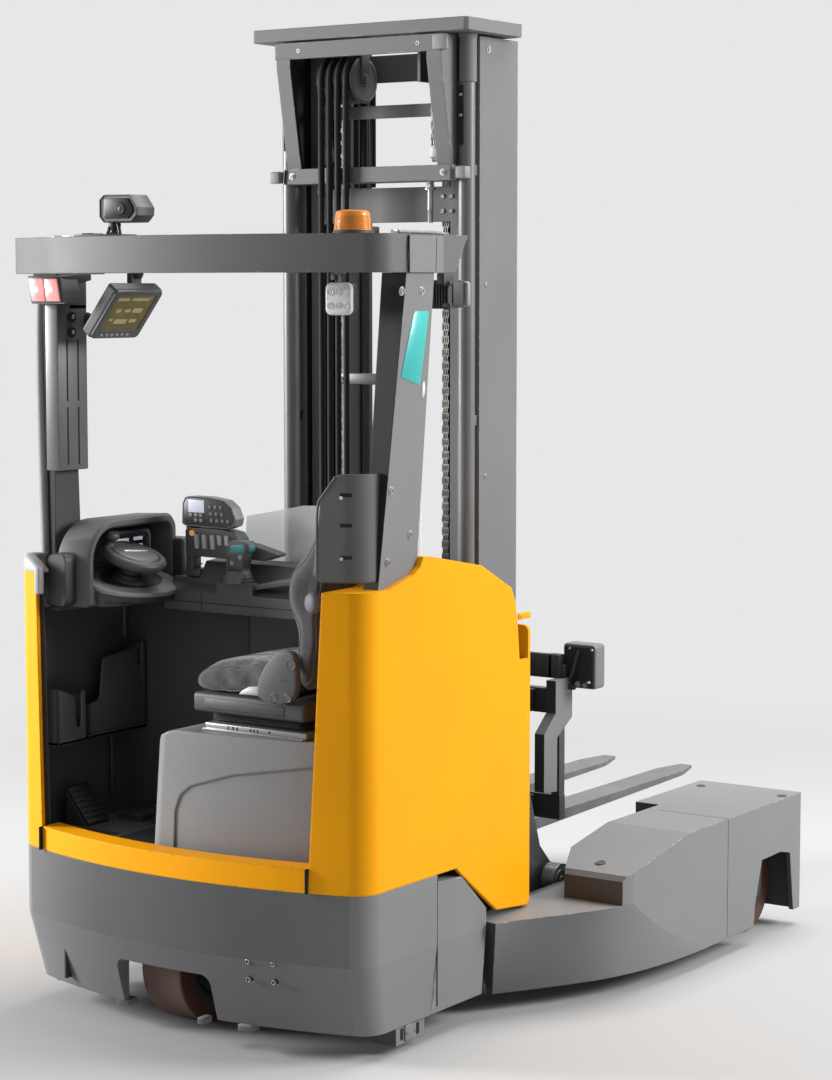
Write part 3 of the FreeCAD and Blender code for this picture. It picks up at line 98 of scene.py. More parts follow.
def noise(tree, scale, detail):
    """Noise in the object's own coordinates."""
    return add(tree, "TexNoise", {"Vector": place_in(tree), "Scale": scale, "Detail": detail}).outputs[0]


def blend(tree, amount, first, second):
    """The first colour, going over to the second by the amount."""
    return add(tree, "Mix", {0: amount, 6: first, 7: (*second, 1)}, data_type="RGBA").outputs[2]


# ------------------------------------------------------------------ finishes
LOOKS = {}
DUST = (0.42, 0.40, 0.37)


def finish(name, colour, rough=0.45, metal=0.0, spread=0.10, fleck=0.0, wear=0.0, wear_colour=None,
           grain=700.0, bump=0.08, edge=0.0022, dust=0.0, coat=0.0, weave=0.0, blotch=3.5, glow=None,
           strength=0.0, alpha=1.0, sheen=0.0, specular=0.5):
    """A painted, moulded or worn surface made from noise in the object's own coordinates."""
    mat = LOOKS[name] = bpy.data.materials.new(name)
    mat.use_nodes = True
    tree = mat.node_tree
    tree.nodes.clear()
    big, fine = noise(tree, blotch, 5.0), noise(tree, grain, 2.0)
    surface = scaled(tree, colour, stretch(tree, big, 0.3, 0.7, 1 - spread, 1 + spread))
    if fleck:
        surface = scaled(tree, surface, stretch(tree, fine, 0.35, 0.65, 1 - fleck, 1 + fleck))
    if wear:
        surface = worn(tree, surface, wear, wear_colour or [min(1, c * 1.9 + 0.05) for c in colour], edge)
    if dust:
        up = split(tree, add(tree, "NewGeometry", {}).outputs["Normal"])["Z"]
        cover = maths(tree, "MULTIPLY", stretch(tree, up, 0.4, 1.0, 0.0, dust), big)
        surface = blend(tree, cover, surface, DUST)
    rounded = add(tree, "Bevel", {"Radius": edge}, samples=4).outputs[0]
    relief = {"Strength": bump, "Distance": 0.001, "Normal": rounded,
              "Height": woven(tree, weave) if weave else fine}
    gloss = stretch(tree, big, 0.3, 0.7, max(0.02, rough - 0.07), min(1.0, rough + 0.09))
    inputs = {"Base Color": surface, "Roughness": gloss, "Normal": add(tree, "Bump", relief).outputs[0],
              "Metallic": metal, "Specular IOR Level": specular, "Alpha": alpha}
    if coat:
        inputs |= {"Coat Weight": coat, "Coat Roughness": 0.12}
    if sheen:
        inputs |= {"Sheen Weight": sheen, "Sheen Roughness": 0.4}
    if glow:
        inputs |= {"Emission Color": (*glow, 1), "Emission Strength": strength}
    shader = add(tree, "BsdfPrincipled", inputs)
    add(tree, "OutputMaterial", {0: shader.outputs[0]})
    return mat


def worn(tree, surface, wear, bare, edge):
    """Scuffs of the bare colour along the edges, where a wide bevel's normal leaves the face's own."""
    flat = add(tree, "NewGeometry", {}).outputs["Normal"]
    wide = add(tree, "Bevel", {"Radius": edge * 1.6}, samples=4).outputs[0]
    rim = stretch(tree, vectors(tree, "DOT_PRODUCT", wide, flat)["Value"], 0.985, 0.93)
    patch = stretch(tree, noise(tree, 38.0, 4.0), 0.62 - 0.3 * wear, 0.70 - 0.3 * wear)
    return blend(tree, maths(tree, "MULTIPLY", rim, patch), surface, bare)


def woven(tree, scale):
    """Crossing threads as a height."""
    x, y, z = (add(tree, "TexWave", {"Scale": scale, "Distortion": 0.4, "Vector": place_in(tree)},
                   bands_direction=axis).outputs[1] for axis in "XYZ")
    return maths(tree, "MULTIPLY", maths(tree, "MAXIMUM", x, y), z)


def paint_over(mat, amount, tone):
    """Another tone over a finish's own colour, as far as the amount says."""
    shader = next(n for n in mat.node_tree.nodes if n.type == "BSDF_PRINCIPLED")
    colour = shader.inputs["Base Color"]
    mixed = blend(mat.node_tree, amount, colour.links[0].from_socket, tone)
    mat.node_tree.links.new(mixed, colour)


def painted_shade_rear(name, tone, start=-0.5, full=-0.8):
    """Painted shade: a darker colour on the faces that look to the rear, where less light falls."""
    tree = LOOKS[name].node_tree
    paint_over(LOOKS[name], stretch(tree, split(tree, place_in(tree, "Normal"))[1], start, full), tone)


def painted_shade_inner(name, tone):
    """Painted shade: a darker colour on the faces that look in towards the truck's middle plane, where the
    light is blocked.
    """
    tree = LOOKS[name].node_tree
    normal, place = split(tree, place_in(tree, "Normal")), split(tree, place_in(tree))
    inwards = maths(tree, "MULTIPLY", normal[0], place[0])
    paint_over(LOOKS[name], stretch(tree, inwards, -0.05, -0.12), tone)


def wheel_finish(name, wheel, hub):
    """A cast tyre: dusty tread, orange-brown side wall and dark hub, told apart by place on the wheel."""
    tread, side = (0.11, 0.060, 0.050), (0.085, 0.026, 0.016)
    mat = finish(name, tread, 0.55, bump=0.3, fleck=0.12, spread=0.16, blotch=11.0, grain=260, edge=0.003)
    tree = mat.node_tree
    low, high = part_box(wheel)
    centre = (0, (low[1] + high[1]) / 2, (low[2] + high[2]) / 2)
    reach = (high[2] - low[2]) / 2
    sideways = maths(tree, "ABSOLUTE", split(tree, place_in(tree, "Normal"))[0])
    paint_over(mat, stretch(tree, sideways, 0.35, 0.75), side)
    spoke = vectors(tree, "MULTIPLY", vectors(tree, "SUBTRACT", place_in(tree), centre)[0], (0, 1, 1))[0]
    far = vectors(tree, "LENGTH", spoke)["Value"]
    paint_over(mat, stretch(tree, far, reach * 0.705, reach * 0.685), hub)


GREY = (0.205, 0.207, 0.210)
YELLOW = (0.93, 0.385, 0.002)
for name, spread, wear, dust in (("hull_paint", 0.05, 0.22, 0.12), ("chassis_paint", 0.06, 0.3, 0.2),
                                 ("arm_paint", 0.05, 0.28, 0.10)):
    finish(name, GREY, 0.46, specular=0.25, bump=0.16, grain=900, spread=spread, wear=wear, dust=dust,
           edge=0.004, fleck=0.04)
for name, tone, wear, dust in (("post_paint", (0.225, 0.227, 0.230), 0.15, 0),
                               ("guard_paint", (0.150, 0.151, 0.154), 0.15, 0),
                               ("mast_paint", (0.185, 0.187, 0.190), 0.2, 0.08)):
    finish(name, tone, 0.5, specular=0.15, bump=0.14, spread=0.05, wear=wear, dust=dust, edge=0.004,
           fleck=0.04)
finish("camera_pale", (0.17, 0.172, 0.175), 0.42, spread=0.06, edge=0.003, bump=0.2)
finish("battery_case", (0.03, 0.03, 0.032), 0.5, dust=0.3)
finish("cover_yellow", YELLOW, 0.42, spread=0.03, bump=0.05, grain=900, edge=0.007, wear=0.08,
       wear_colour=(0.62, 0.27, 0.02), specular=0.12)
finish("sill_yellow", YELLOW, 0.44, spread=0.04, bump=0.06, grain=900, edge=0.006, wear=0.14,
       wear_colour=(0.55, 0.25, 0.03), specular=0.12)
finish("rail_steel", (0.12, 0.12, 0.122), 0.42, metal=0.6, wear=0.6)
finish("wheel_fork_steel", (0.045, 0.045, 0.047), 0.55, wear=0.3)
wheel_finish("load_tyre", "load_wheel_right", (0.03, 0.03, 0.032))
finish("drive_casting", (0.03, 0.03, 0.032), 0.6, bump=0.4, grain=300)
wheel_finish("drive_tyre", "drive_wheel", (0.025, 0.024, 0.026))
finish("floor_mat", (0.024, 0.024, 0.025), 0.7, bump=0.6, dust=0.25, fleck=0.2, grain=500)
finish("plinth_paint", (0.215, 0.217, 0.221), 0.5, bump=0.3, grain=520, spread=0.04, edge=0.010, fleck=0.06)
finish("seat_frame", (0.036, 0.036, 0.038), 0.5, bump=0.2, edge=0.004, wear=0.15)
finish("seat_fabric", (0.066, 0.066, 0.069), 0.9, weave=150.0, bump=0.7, sheen=0.35, fleck=0.28, grain=420,
       spread=0.06, blotch=9.0)
finish("pad_plastic", (0.085, 0.086, 0.089), 0.55, bump=0.35, grain=450, edge=0.008, fleck=0.08)
finish("panel_paint", (0.055, 0.056, 0.058), 0.5, spread=0.06)
finish("trim_plastic", (0.075, 0.076, 0.079), 0.52, bump=0.38, grain=480, edge=0.005, fleck=0.08)
finish("steering_plastic", (0.08, 0.08, 0.083), 0.45, bump=0.15, edge=0.003)
finish("pod_plastic", (0.085, 0.086, 0.09), 0.5, bump=0.2, edge=0.004)
finish("clear_screen", (0.95, 0.96, 0.96), 0.06, alpha=0.42, bump=0.0, spread=0.02)
finish("monitor_plastic", (0.055, 0.055, 0.058), 0.5, edge=0.004, bump=0.25, grain=500)
finish("camera_casing", (0.045, 0.045, 0.047), 0.45, edge=0.004, bump=0.25, grain=500)
finish("beacon_lens", (0.72, 0.22, 0.002), 0.24, glow=(0.85, 0.32, 0.01), strength=0.05, coat=0.2,
       edge=0.002, spread=0.12, blotch=22.0)
finish("tail_lens", (0.090, 0.090, 0.093), 0.4, edge=0.004, bump=0.2)
finish("lamp_casing", (0.05, 0.05, 0.052), 0.42, edge=0.004, bump=0.2)
finish("cylinder_paint", (0.13, 0.131, 0.134), 0.38, wear=0.1)
finish("carriage_paint", (0.050, 0.050, 0.053), 0.42, wear=0.3)
finish("roller_steel", (0.42, 0.42, 0.42), 0.3, metal=1.0)
finish("rod_chrome", (0.66, 0.66, 0.67), 0.16, metal=1.0, spread=0.03, bump=0.02)
finish("pulley_plastic", (0.07, 0.07, 0.073), 0.45)
finish("chain_steel", (0.30, 0.285, 0.265), 0.36, metal=0.85, fleck=0.25, spread=0.2, blotch=14.0,
       edge=0.0008)
finish("hose_rubber", (0.011, 0.011, 0.012), 0.62, fleck=0.1, specular=0.2)
finish("fork_steel", (0.11, 0.111, 0.113), 0.46, wear=0.5, edge=0.002, spread=0.22, fleck=0.12, blotch=9.0,
       wear_colour=(0.30, 0.25, 0.21), dust=0.12)
finish("cab_liner", (0.068, 0.068, 0.071), 0.75, bump=0.4, grain=420, fleck=0.12)
# Black for the panel seams, and painted shade in the slots, holes, grooves, notches and recesses that it
# fills.
finish("seam_black_and_hole_shade", (0.008, 0.008, 0.008), 0.9, spread=0.2, edge=0.0004)
finish("bolt_steel", (0.34, 0.34, 0.345), 0.36, metal=0.8, spread=0.15, fleck=0.12, edge=0.0008, wear=0.3)
finish("teal_badge", (0.020, 0.46, 0.44), 0.4, spread=0.04, bump=0.03, edge=0.0006, coat=0.3)
finish("white_plastic", (0.70, 0.70, 0.70), 0.45, specular=0.2, spread=0.03, edge=0.003, bump=0.06)
finish("guard_light", (0.26, 0.262, 0.266), 0.5, specular=0.2, spread=0.05, edge=0.003, wear=0.1, bump=0.1)
finish("cap_grey", (0.36, 0.362, 0.366), 0.5, spread=0.05, bump=0.25, grain=500, edge=0.004)
finish("rail_dark", (0.105, 0.105, 0.109), 0.42, spread=0.06, edge=0.002, wear=0.2)
finish("lens_black", (0.010, 0.010, 0.012), 0.34, spread=0.1, edge=0.001, specular=0.3)
finish("rubber_black", (0.026, 0.026, 0.027), 0.62, bump=0.35, grain=600, fleck=0.15, edge=0.002)
finish("lamp_grey", (0.26, 0.26, 0.265), 0.42, spread=0.06, edge=0.002, bump=0.15)
finish("led_pale", (0.62, 0.63, 0.64), 0.16, spread=0.15, blotch=90.0, coat=0.6, edge=0.001)
finish("tail_glow", (0.78, 0.20, 0.21), 0.25, spread=0.12, blotch=30.0, coat=0.5, edge=0.002,
       glow=(1.0, 0.42, 0.42), strength=0.45)
finish("tail_core", (0.95, 0.74, 0.74), 0.25, spread=0.08, coat=0.4, edge=0.001, glow=(1.0, 0.74, 0.74),
       strength=0.55)
finish("bezel_grey", (0.075, 0.075, 0.078), 0.46, bump=0.25, grain=600, edge=0.003)
finish("screen_olive", (0.060, 0.050, 0.016), 0.22, spread=0.3, blotch=26.0, edge=0.0005,
       glow=(0.16, 0.13, 0.045), strength=0.4, specular=0.3)
finish("screen_marks", (0.20, 0.17, 0.09), 0.25, spread=0.1, edge=0.0004, glow=(0.34, 0.30, 0.17),
       strength=0.4, specular=0.3)
finish("key_grey", (0.24, 0.242, 0.246), 0.5, spread=0.05, bump=0.15, edge=0.001)
finish("dish_grey", (0.205, 0.206, 0.210), 0.5, spread=0.05, bump=0.3, grain=500, edge=0.002)
finish("display_dark", (0.014, 0.014, 0.016), 0.14, spread=0.1, coat=0.6, edge=0.001)
finish("screen_pale", (0.62, 0.66, 0.74), 0.3, spread=0.05, edge=0.0005, glow=(0.75, 0.80, 0.92),
       strength=0.30)
finish("boot_dark", (0.036, 0.036, 0.038), 0.48, spread=0.06, bump=0.3, grain=520, edge=0.004)
finish("wheel_grip", (0.066, 0.067, 0.070), 0.42, spread=0.06, bump=0.35, grain=650, edge=0.002, fleck=0.08)
finish("wheel_cap", (0.115, 0.112, 0.108), 0.40, spread=0.05, bump=0.2, grain=650, edge=0.002)
finish("silver_trim", (0.72, 0.71, 0.66), 0.25, metal=0.5, spread=0.04, edge=0.001)
finish("pod_rim", (0.16, 0.161, 0.165), 0.46, spread=0.05, bump=0.2, grain=600, edge=0.003)
finish("face_dark", (0.050, 0.050, 0.053), 0.42, spread=0.06, bump=0.15, edge=0.001)
finish("pod_body", (0.085, 0.086, 0.089), 0.48, spread=0.05, bump=0.3, grain=600, edge=0.003)
finish("rocker_pale", (0.52, 0.52, 0.55), 0.42, spread=0.05, edge=0.0015, bump=0.1)
finish("amber_glow", (0.80, 0.34, 0.10), 0.25, spread=0.1, coat=0.5, edge=0.001, glow=(0.95, 0.45, 0.12),
       strength=0.35)
finish("teal_cap", (0.040, 0.26, 0.25), 0.42, spread=0.06, bump=0.2, edge=0.003)
finish("pocket_light", (0.105, 0.106, 0.110), 0.5, spread=0.06, bump=0.35, grain=480, edge=0.004,
       fleck=0.08)
finish("piping", (0.085, 0.085, 0.089), 0.7, spread=0.08, bump=0.4, grain=900, edge=0.0006)
finish("seam_thread", (0.028, 0.028, 0.030), 0.85, spread=0.1, bump=0.5, grain=1200, edge=0.0004)
finish("seat_shell", (0.056, 0.056, 0.058), 0.55, spread=0.05, bump=0.35, grain=500, edge=0.005, fleck=0.08)
finish("handle_pale", (0.55, 0.55, 0.56), 0.42, spread=0.05, bump=0.15, edge=0.002)
finish("knob_pale", (0.13, 0.137, 0.15), 0.5, specular=0.2, spread=0.05, bump=0.15, edge=0.002)
finish("buckle_red", (0.36, 0.090, 0.085), 0.42, spread=0.06, edge=0.001, bump=0.15)
finish("rail_grey", (0.22, 0.22, 0.224), 0.4, metal=0.5, spread=0.08, edge=0.001, wear=0.3)
finish("cast_grey", (0.30, 0.30, 0.305), 0.45, metal=0.4, spread=0.12, bump=0.3, edge=0.002)
finish("pulley_grey", (0.115, 0.115, 0.118), 0.40, spread=0.08, edge=0.0015, wear=0.2, bump=0.15)
finish("plug_dark", (0.060, 0.060, 0.062), 0.6, spread=0.1, bump=0.25, edge=0.001)
# Painted shade: darker colour on the rear-looking faces of the posts, hull, arms and fork camera, and on the
# inward-looking faces of the posts and mast.
painted_shade_rear("post_paint", (0.022, 0.022, 0.023))
painted_shade_inner("post_paint", (0.070, 0.070, 0.072))
painted_shade_rear("hull_paint", (0.088, 0.089, 0.091), -0.90, -0.99)
painted_shade_rear("arm_paint", (0.072, 0.073, 0.075), -0.3, -0.8)
painted_shade_inner("mast_paint", (0.020, 0.020, 0.021))
painted_shade_rear("camera_pale", (0.020, 0.020, 0.021))
OWN = {"guard_posts": "post_paint", "carriage_camera": "camera_pale", "door_sill": "sill_yellow"}
for name, part in NODES.items():
    for slot in part.material_slots:
        slot.material = LOOKS[OWN.get(name, SLOTS[name])]


# ------------------------------------------------------------------ building bits of mesh
MM = 0.001
SHARP = 0.45  # an edge's least angle, in radians, for it to be rounded
X, Y, Z = Vector((1, 0, 0)), Vector((0, 1, 0)), Vector((0, 0, 1))
SIDES = ((1, "right"), (-1, "left"))


def frame_at(origin, right, up):
    """A local frame: right is its x, up its y, and its z comes out of the face."""
    right, up = Vector(right).normalized(), Vector(up).normalized()
    place = Matrix((right, up, right.cross(up))).transposed().to_4x4()
    place.translation = Vector(origin)
    return place


def facing(at, out):
    """A local frame at a point whose z runs along out."""
    turn = Vector(out).to_track_quat("Z", "Y").to_matrix().to_4x4()
    turn.translation = Vector(at)
    return turn


def turned(degrees, axis="Z"):
    """A turn about one axis."""
    return Matrix.Rotation(math.radians(degrees), 4, axis)


def circle(steps):
    """The cosine and sine of each of a circle's steps."""
    return [(math.cos(2 * math.pi * k / steps), math.sin(2 * math.pi * k / steps)) for k in range(steps)]


def in_plane(plane, u, v, w):
    """A point from its place in a plane and its distance along the third axis."""
    return {"xy": (u, v, w), "yz": (w, u, v), "xz": (u, w, v)}[plane]


def resized(outline, centre, across, up):
    """An outline scaled about a point, by its own share each way."""
    cu, cv = centre
    return [(cu + (u - cu) * across, cv + (v - cv) * up) for u, v in outline]


def layers(outline, levels, plane="xy", centre=(0, 0)):
    """The outline at each (level, scale), scaled about its centre."""
    return [[in_plane(plane, u, v, w) for u, v in resized(outline, centre, k, k)] for w, k in levels]


def corners(name):
    """A CAD node's lowest and highest corners in millimetres."""
    low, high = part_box(name)
    return Vector(low) / MM, Vector(high) / MM


class Piece:
    """Mesh bits, given in millimetres, that become one object in metres."""

    def __init__(self, name):
        self.name = name
        self.bm = bmesh.new()

    def solid(self, verts, faces, radius=0.0, steps=2, where=None):
        """One closed bit, with its sharp edges rounded."""
        bm = bmesh.new()
        made = [bm.verts.new(v) for v in verts]
        for face in faces:
            bm.faces.new([made[i] for i in face])
        bmesh.ops.recalc_face_normals(bm, faces=bm.faces)
        if radius:
            sharp = [e for e in bm.edges if len(e.link_faces) == 2 and e.calc_face_angle(0) > SHARP]
            bmesh.ops.bevel(bm, geom=sharp, offset=radius, segments=steps, affect="EDGES", profile=0.5,
                            clamp_overlap=True)
        bmesh.ops.transform(bm, matrix=where or Matrix(), verts=bm.verts)
        mesh = bpy.data.meshes.new("bit")
        bm.to_mesh(mesh)
        bm.free()
        self.bm.from_mesh(mesh)
        bpy.data.meshes.remove(mesh)
        return self

    def block(self, low, high, radius=1.5, steps=2, where=None):
        """A box between two corners."""
        (x0, y0, z0), (x1, y1, z1) = low, high
        verts = [(x, y, z) for z in (z0, z1) for x, y in ((x0, y0), (x1, y0), (x1, y1), (x0, y1))]
        faces = [(3, 2, 1, 0), (4, 5, 6, 7), (0, 1, 5, 4), (1, 2, 6, 5), (2, 3, 7, 6), (3, 0, 4, 7)]
        return self.solid(verts, faces, radius, steps, where)

    def prism(self, outline, start, end, plane="xy", radius=0.0, steps=2, where=None):
        """An outline in a plane, drawn out along the third axis."""
        count = len(outline)
        verts = [in_plane(plane, u, v, w) for w in (start, end) for u, v in outline]
        faces = [tuple(range(count)), tuple(range(count, 2 * count))]
        faces += [(i, (i + 1) % count, (i + 1) % count + count, i + count) for i in range(count)]
        return self.solid(verts, faces, radius, steps, where)

    def loft(self, rings, where=None, closed=False):
        """A skin over rings of points, capped at both ends unless it closes on itself."""
        count = len(rings[0])
        verts = [point for ring in rings for point in ring]
        faces = []
        for k in range(len(rings) if closed else len(rings) - 1):
            a, b = k * count, (k + 1) % len(rings) * count
            faces += [(a + i, a + (i + 1) % count, b + (i + 1) % count, b + i) for i in range(count)]
        if not closed:
            faces += [tuple(range(count)), tuple(range(len(verts) - count, len(verts)))]
        return self.solid(verts, faces, where=where)

    def lathe(self, profile, where, steps=32):
        """A turned shape from (radius, height) points; the height runs along the frame's z."""
        return self.loft([[(max(radius, 0.02) * c, max(radius, 0.02) * s, height) for c, s in circle(steps)]
                          for radius, height in profile], where)

    def bolt(self, at, out, size=7.0, height=4.0, washer=0.0):
        """A hexagon head with a recess, on a washer if that has a radius, facing along out."""
        place = facing(at, out)
        if washer:
            self.lathe([(washer, -0.4), (washer, 1.0), (washer - 0.8, 1.6), (size * 0.5, 1.6)], place, 24)
        return self.lathe([(size, 0), (size, height * 0.65), (size * 0.86, height), (size * 0.5, height),
                           (size * 0.42, height * 0.55)], place, 6)

    def button(self, at, out, size=7.0, height=3.5):
        """A round screw head with a socket."""
        return self.lathe([(size, -0.4), (size, height * 0.4), (size * 0.8, height * 0.9),
                           (size * 0.42, height), (size * 0.40, height * 0.35)], facing(at, out), 20)

    def tube(self, points, radius, sides=14, rounds=2):
        """A round bar along points, its corners eased by cutting them."""
        path = [Vector(p) for p in points]
        for _ in range(rounds):
            eased = [path[0]]
            for a, b in zip(path, path[1:]):
                eased += [a.lerp(b, 0.25), a.lerp(b, 0.75)]
            path = eased + [path[-1]]
        rings = []
        side = None
        for i, p in enumerate(path):
            heading = (path[min(i + 1, len(path) - 1)] - path[max(i - 1, 0)]).normalized()
            side = side or heading.orthogonal()
            side = (side - heading * side.dot(heading)).normalized()
            other = heading.cross(side)
            rings.append([p + radius * (side * c + other * s) for c, s in circle(sides)])
        return self.loft(rings)

    def done(self, look, slot, body="chassis", angle=33.0):
        """The finished object, with its finish and the body that it rides on; the slot argument is not used.
        """
        mesh = bpy.data.meshes.new(self.name)
        self.bm.to_mesh(mesh)
        self.bm.free()
        mesh.transform(Matrix.Scale(MM, 4))
        for polygon in mesh.polygons:
            polygon.use_smooth = True
        mesh.set_sharp_from_angle(angle=math.radians(angle))
        mesh.materials.append(LOOKS[look])
        made = bpy.data.objects.new(self.name, mesh)
        bpy.context.scene.collection.objects.link(made)
        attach(made, body)
        return made


def rounded_outline(width, height, radius, steps=5, centre=(0.0, 0.0)):
    """A rectangle with round corners, as points in order."""
    points = []
    for quarter, (sx, sy) in enumerate(((1, 1), (-1, 1), (-1, -1), (1, -1))):
        for k in range(steps + 1):
            turn = math.radians(90 * (quarter + k / steps))
            points.append((centre[0] + sx * (width / 2 - radius) + radius * math.cos(turn),
                           centre[1] + sy * (height / 2 - radius) + radius * math.sin(turn)))
    return points


# ------------------------------------------------------------------ cab: covers, posts, roof and lamps
def cab_shell():
    """Dark liners behind the covers, seams, tow and jack points, skids and the right cover's latch."""
    wall = corners("left_body_cover")[0].x + 14.5
    top = [(-1176, 1246), (-1100, 1246), (-1090, 1258), (-1024, 1276), (-994, 1298), (-976, 1320),
           (-936, 1318), (-700, 1272), (-566, 1206), (-536, 1190), (-526, 1150), (-500, 900), (-476, 700),
           (-470, 480)]
    liner = Piece("cover_liners")
    liner.prism([(-1176, 480)] + top, wall, wall + 3.5, "yz")
    right = corners("right_body_cover")[1].x
    liner.prism([(-700, 480)] + top[7:], right - 17.5, right - 14.0, "yz")
    liner.prism([(-560, 470), (-500, 470), (-516, 1240), (-560, 1240)], -1236, -1233, "xz")
    liner.block((-594, -792, 520), (-125, -790.5, 1124), 0.5)
    liner.done("cab_liner", "trim_plastic")

    seams = Piece("panel_seams")

    def upright_seam(face, y, half, z0, z1):
        """A dark line on a side face, let 3 mm into it."""
        low_x, high_x = sorted((face, face - math.copysign(3, face)))
        seams.block((low_x, y - half, z0), (high_x, y + half, z1), 0.3)

    bumper, arm = corners("rear_bumper")[1], corners("load_arms")[1]
    for side in (-1, 1):
        upright_seam(side * (bumper.x + 0.4), bumper.y, 1.4, 98, 452)
    sill_low, sill_high = corners("door_sill")
    for x, y in ((sill_low.x, -1283.4), (sill_high.x, -1294.0)):
        seams.block((x - 1.3, y - 4, sill_low.z), (x + 1.3, y + 12, sill_high.z + 0.4), 0.3)
    for side in (-1, 1):
        upright_seam(side * (arm.x + 0.35), arm.y, 1.3, 62, 427)
        low_x, high_x = sorted((side * arm.x, side * (arm.x - 240)))
        seams.block((low_x, arm.y - 1.2, 427.6), (high_x, arm.y + 1.2, 430.4), 0.3)
    seams.done("seam_black_and_hole_shade", "hull_paint")

    inserts = Piece("tow_plate_threads")
    rear_radius, rear_face = 1700.0, 1700 - 1347
    for x in (277, 351):
        for z in (214, 264):
            y = rear_face - math.sqrt(rear_radius ** 2 - x ** 2) + 1.5 * (270 - z) / 20
            inserts.lathe([(6.9, 0), (6.9, 7), (6.2, 8), (5.0, 8), (4.4, 7), (4.4, 1)],
                          facing((x, y + 6, z), -Y), 24)
    inserts.done("bolt_steel", "hull_paint")

    jack, plate = Piece("jack_point_slots"), Piece("jack_point_plate")
    face, middle, z = 585.6, bumper.y - 100, 50
    # Painted shade: black fill for the jack point's slots.
    for y in (middle - 38, middle + 38):
        jack.prism(rounded_outline(14, 34, 6.9, centre=(y, z)), face, face + 1.2, "yz")
    jack.prism(rounded_outline(44, 38, 6, centre=(middle, z)), face, face + 1.8, "yz", 0.6)
    jack.done("seam_black_and_hole_shade", "hull_paint")
    plate.prism(rounded_outline(52, 44, 4, centre=(middle, z - 1)), face + 1.3, face + 3.8, "yz", 0.8)
    for y in (middle - 18, middle + 18):
        plate.button((face + 3.8, y, z - 1), X, 4, 2)
    plate.done("hull_paint", "hull_paint")

    under = Piece("floor_skids")
    for x, y, w in ((-505, -1180, 60), (-560, -1010, 60), (-205, -1275, 44), (96, -1302, 20),
                    (238, -1290, 44)):
        under.block((x - w / 2, y, 58), (x + w / 2, y + 40, 76), 2)
    under.done("hull_paint", "hull_paint")

    latch = Piece("cover_latch")
    latch.block((right - 2, -503, 1118), (right + 2.8, -438, 1137), 2.5)
    latch.button((right + 2.8, -490, 1127.5), X, 5, 1.6)
    latch.done("cover_yellow", "cover_yellow")


POST_FOOT, POST_HEAD = Vector((580, 0, 1150)), Vector((651, 0, 2186))
POST_UP = (POST_HEAD - POST_FOOT).normalized()
POST_OUT = Vector((POST_UP.z, 0, -POST_UP.x))


def post_face(y, z):
    """A point on the outer face of the right-hand guard post."""
    return POST_FOOT + POST_UP * ((z - POST_FOOT.z) / POST_UP.z) + Y * y


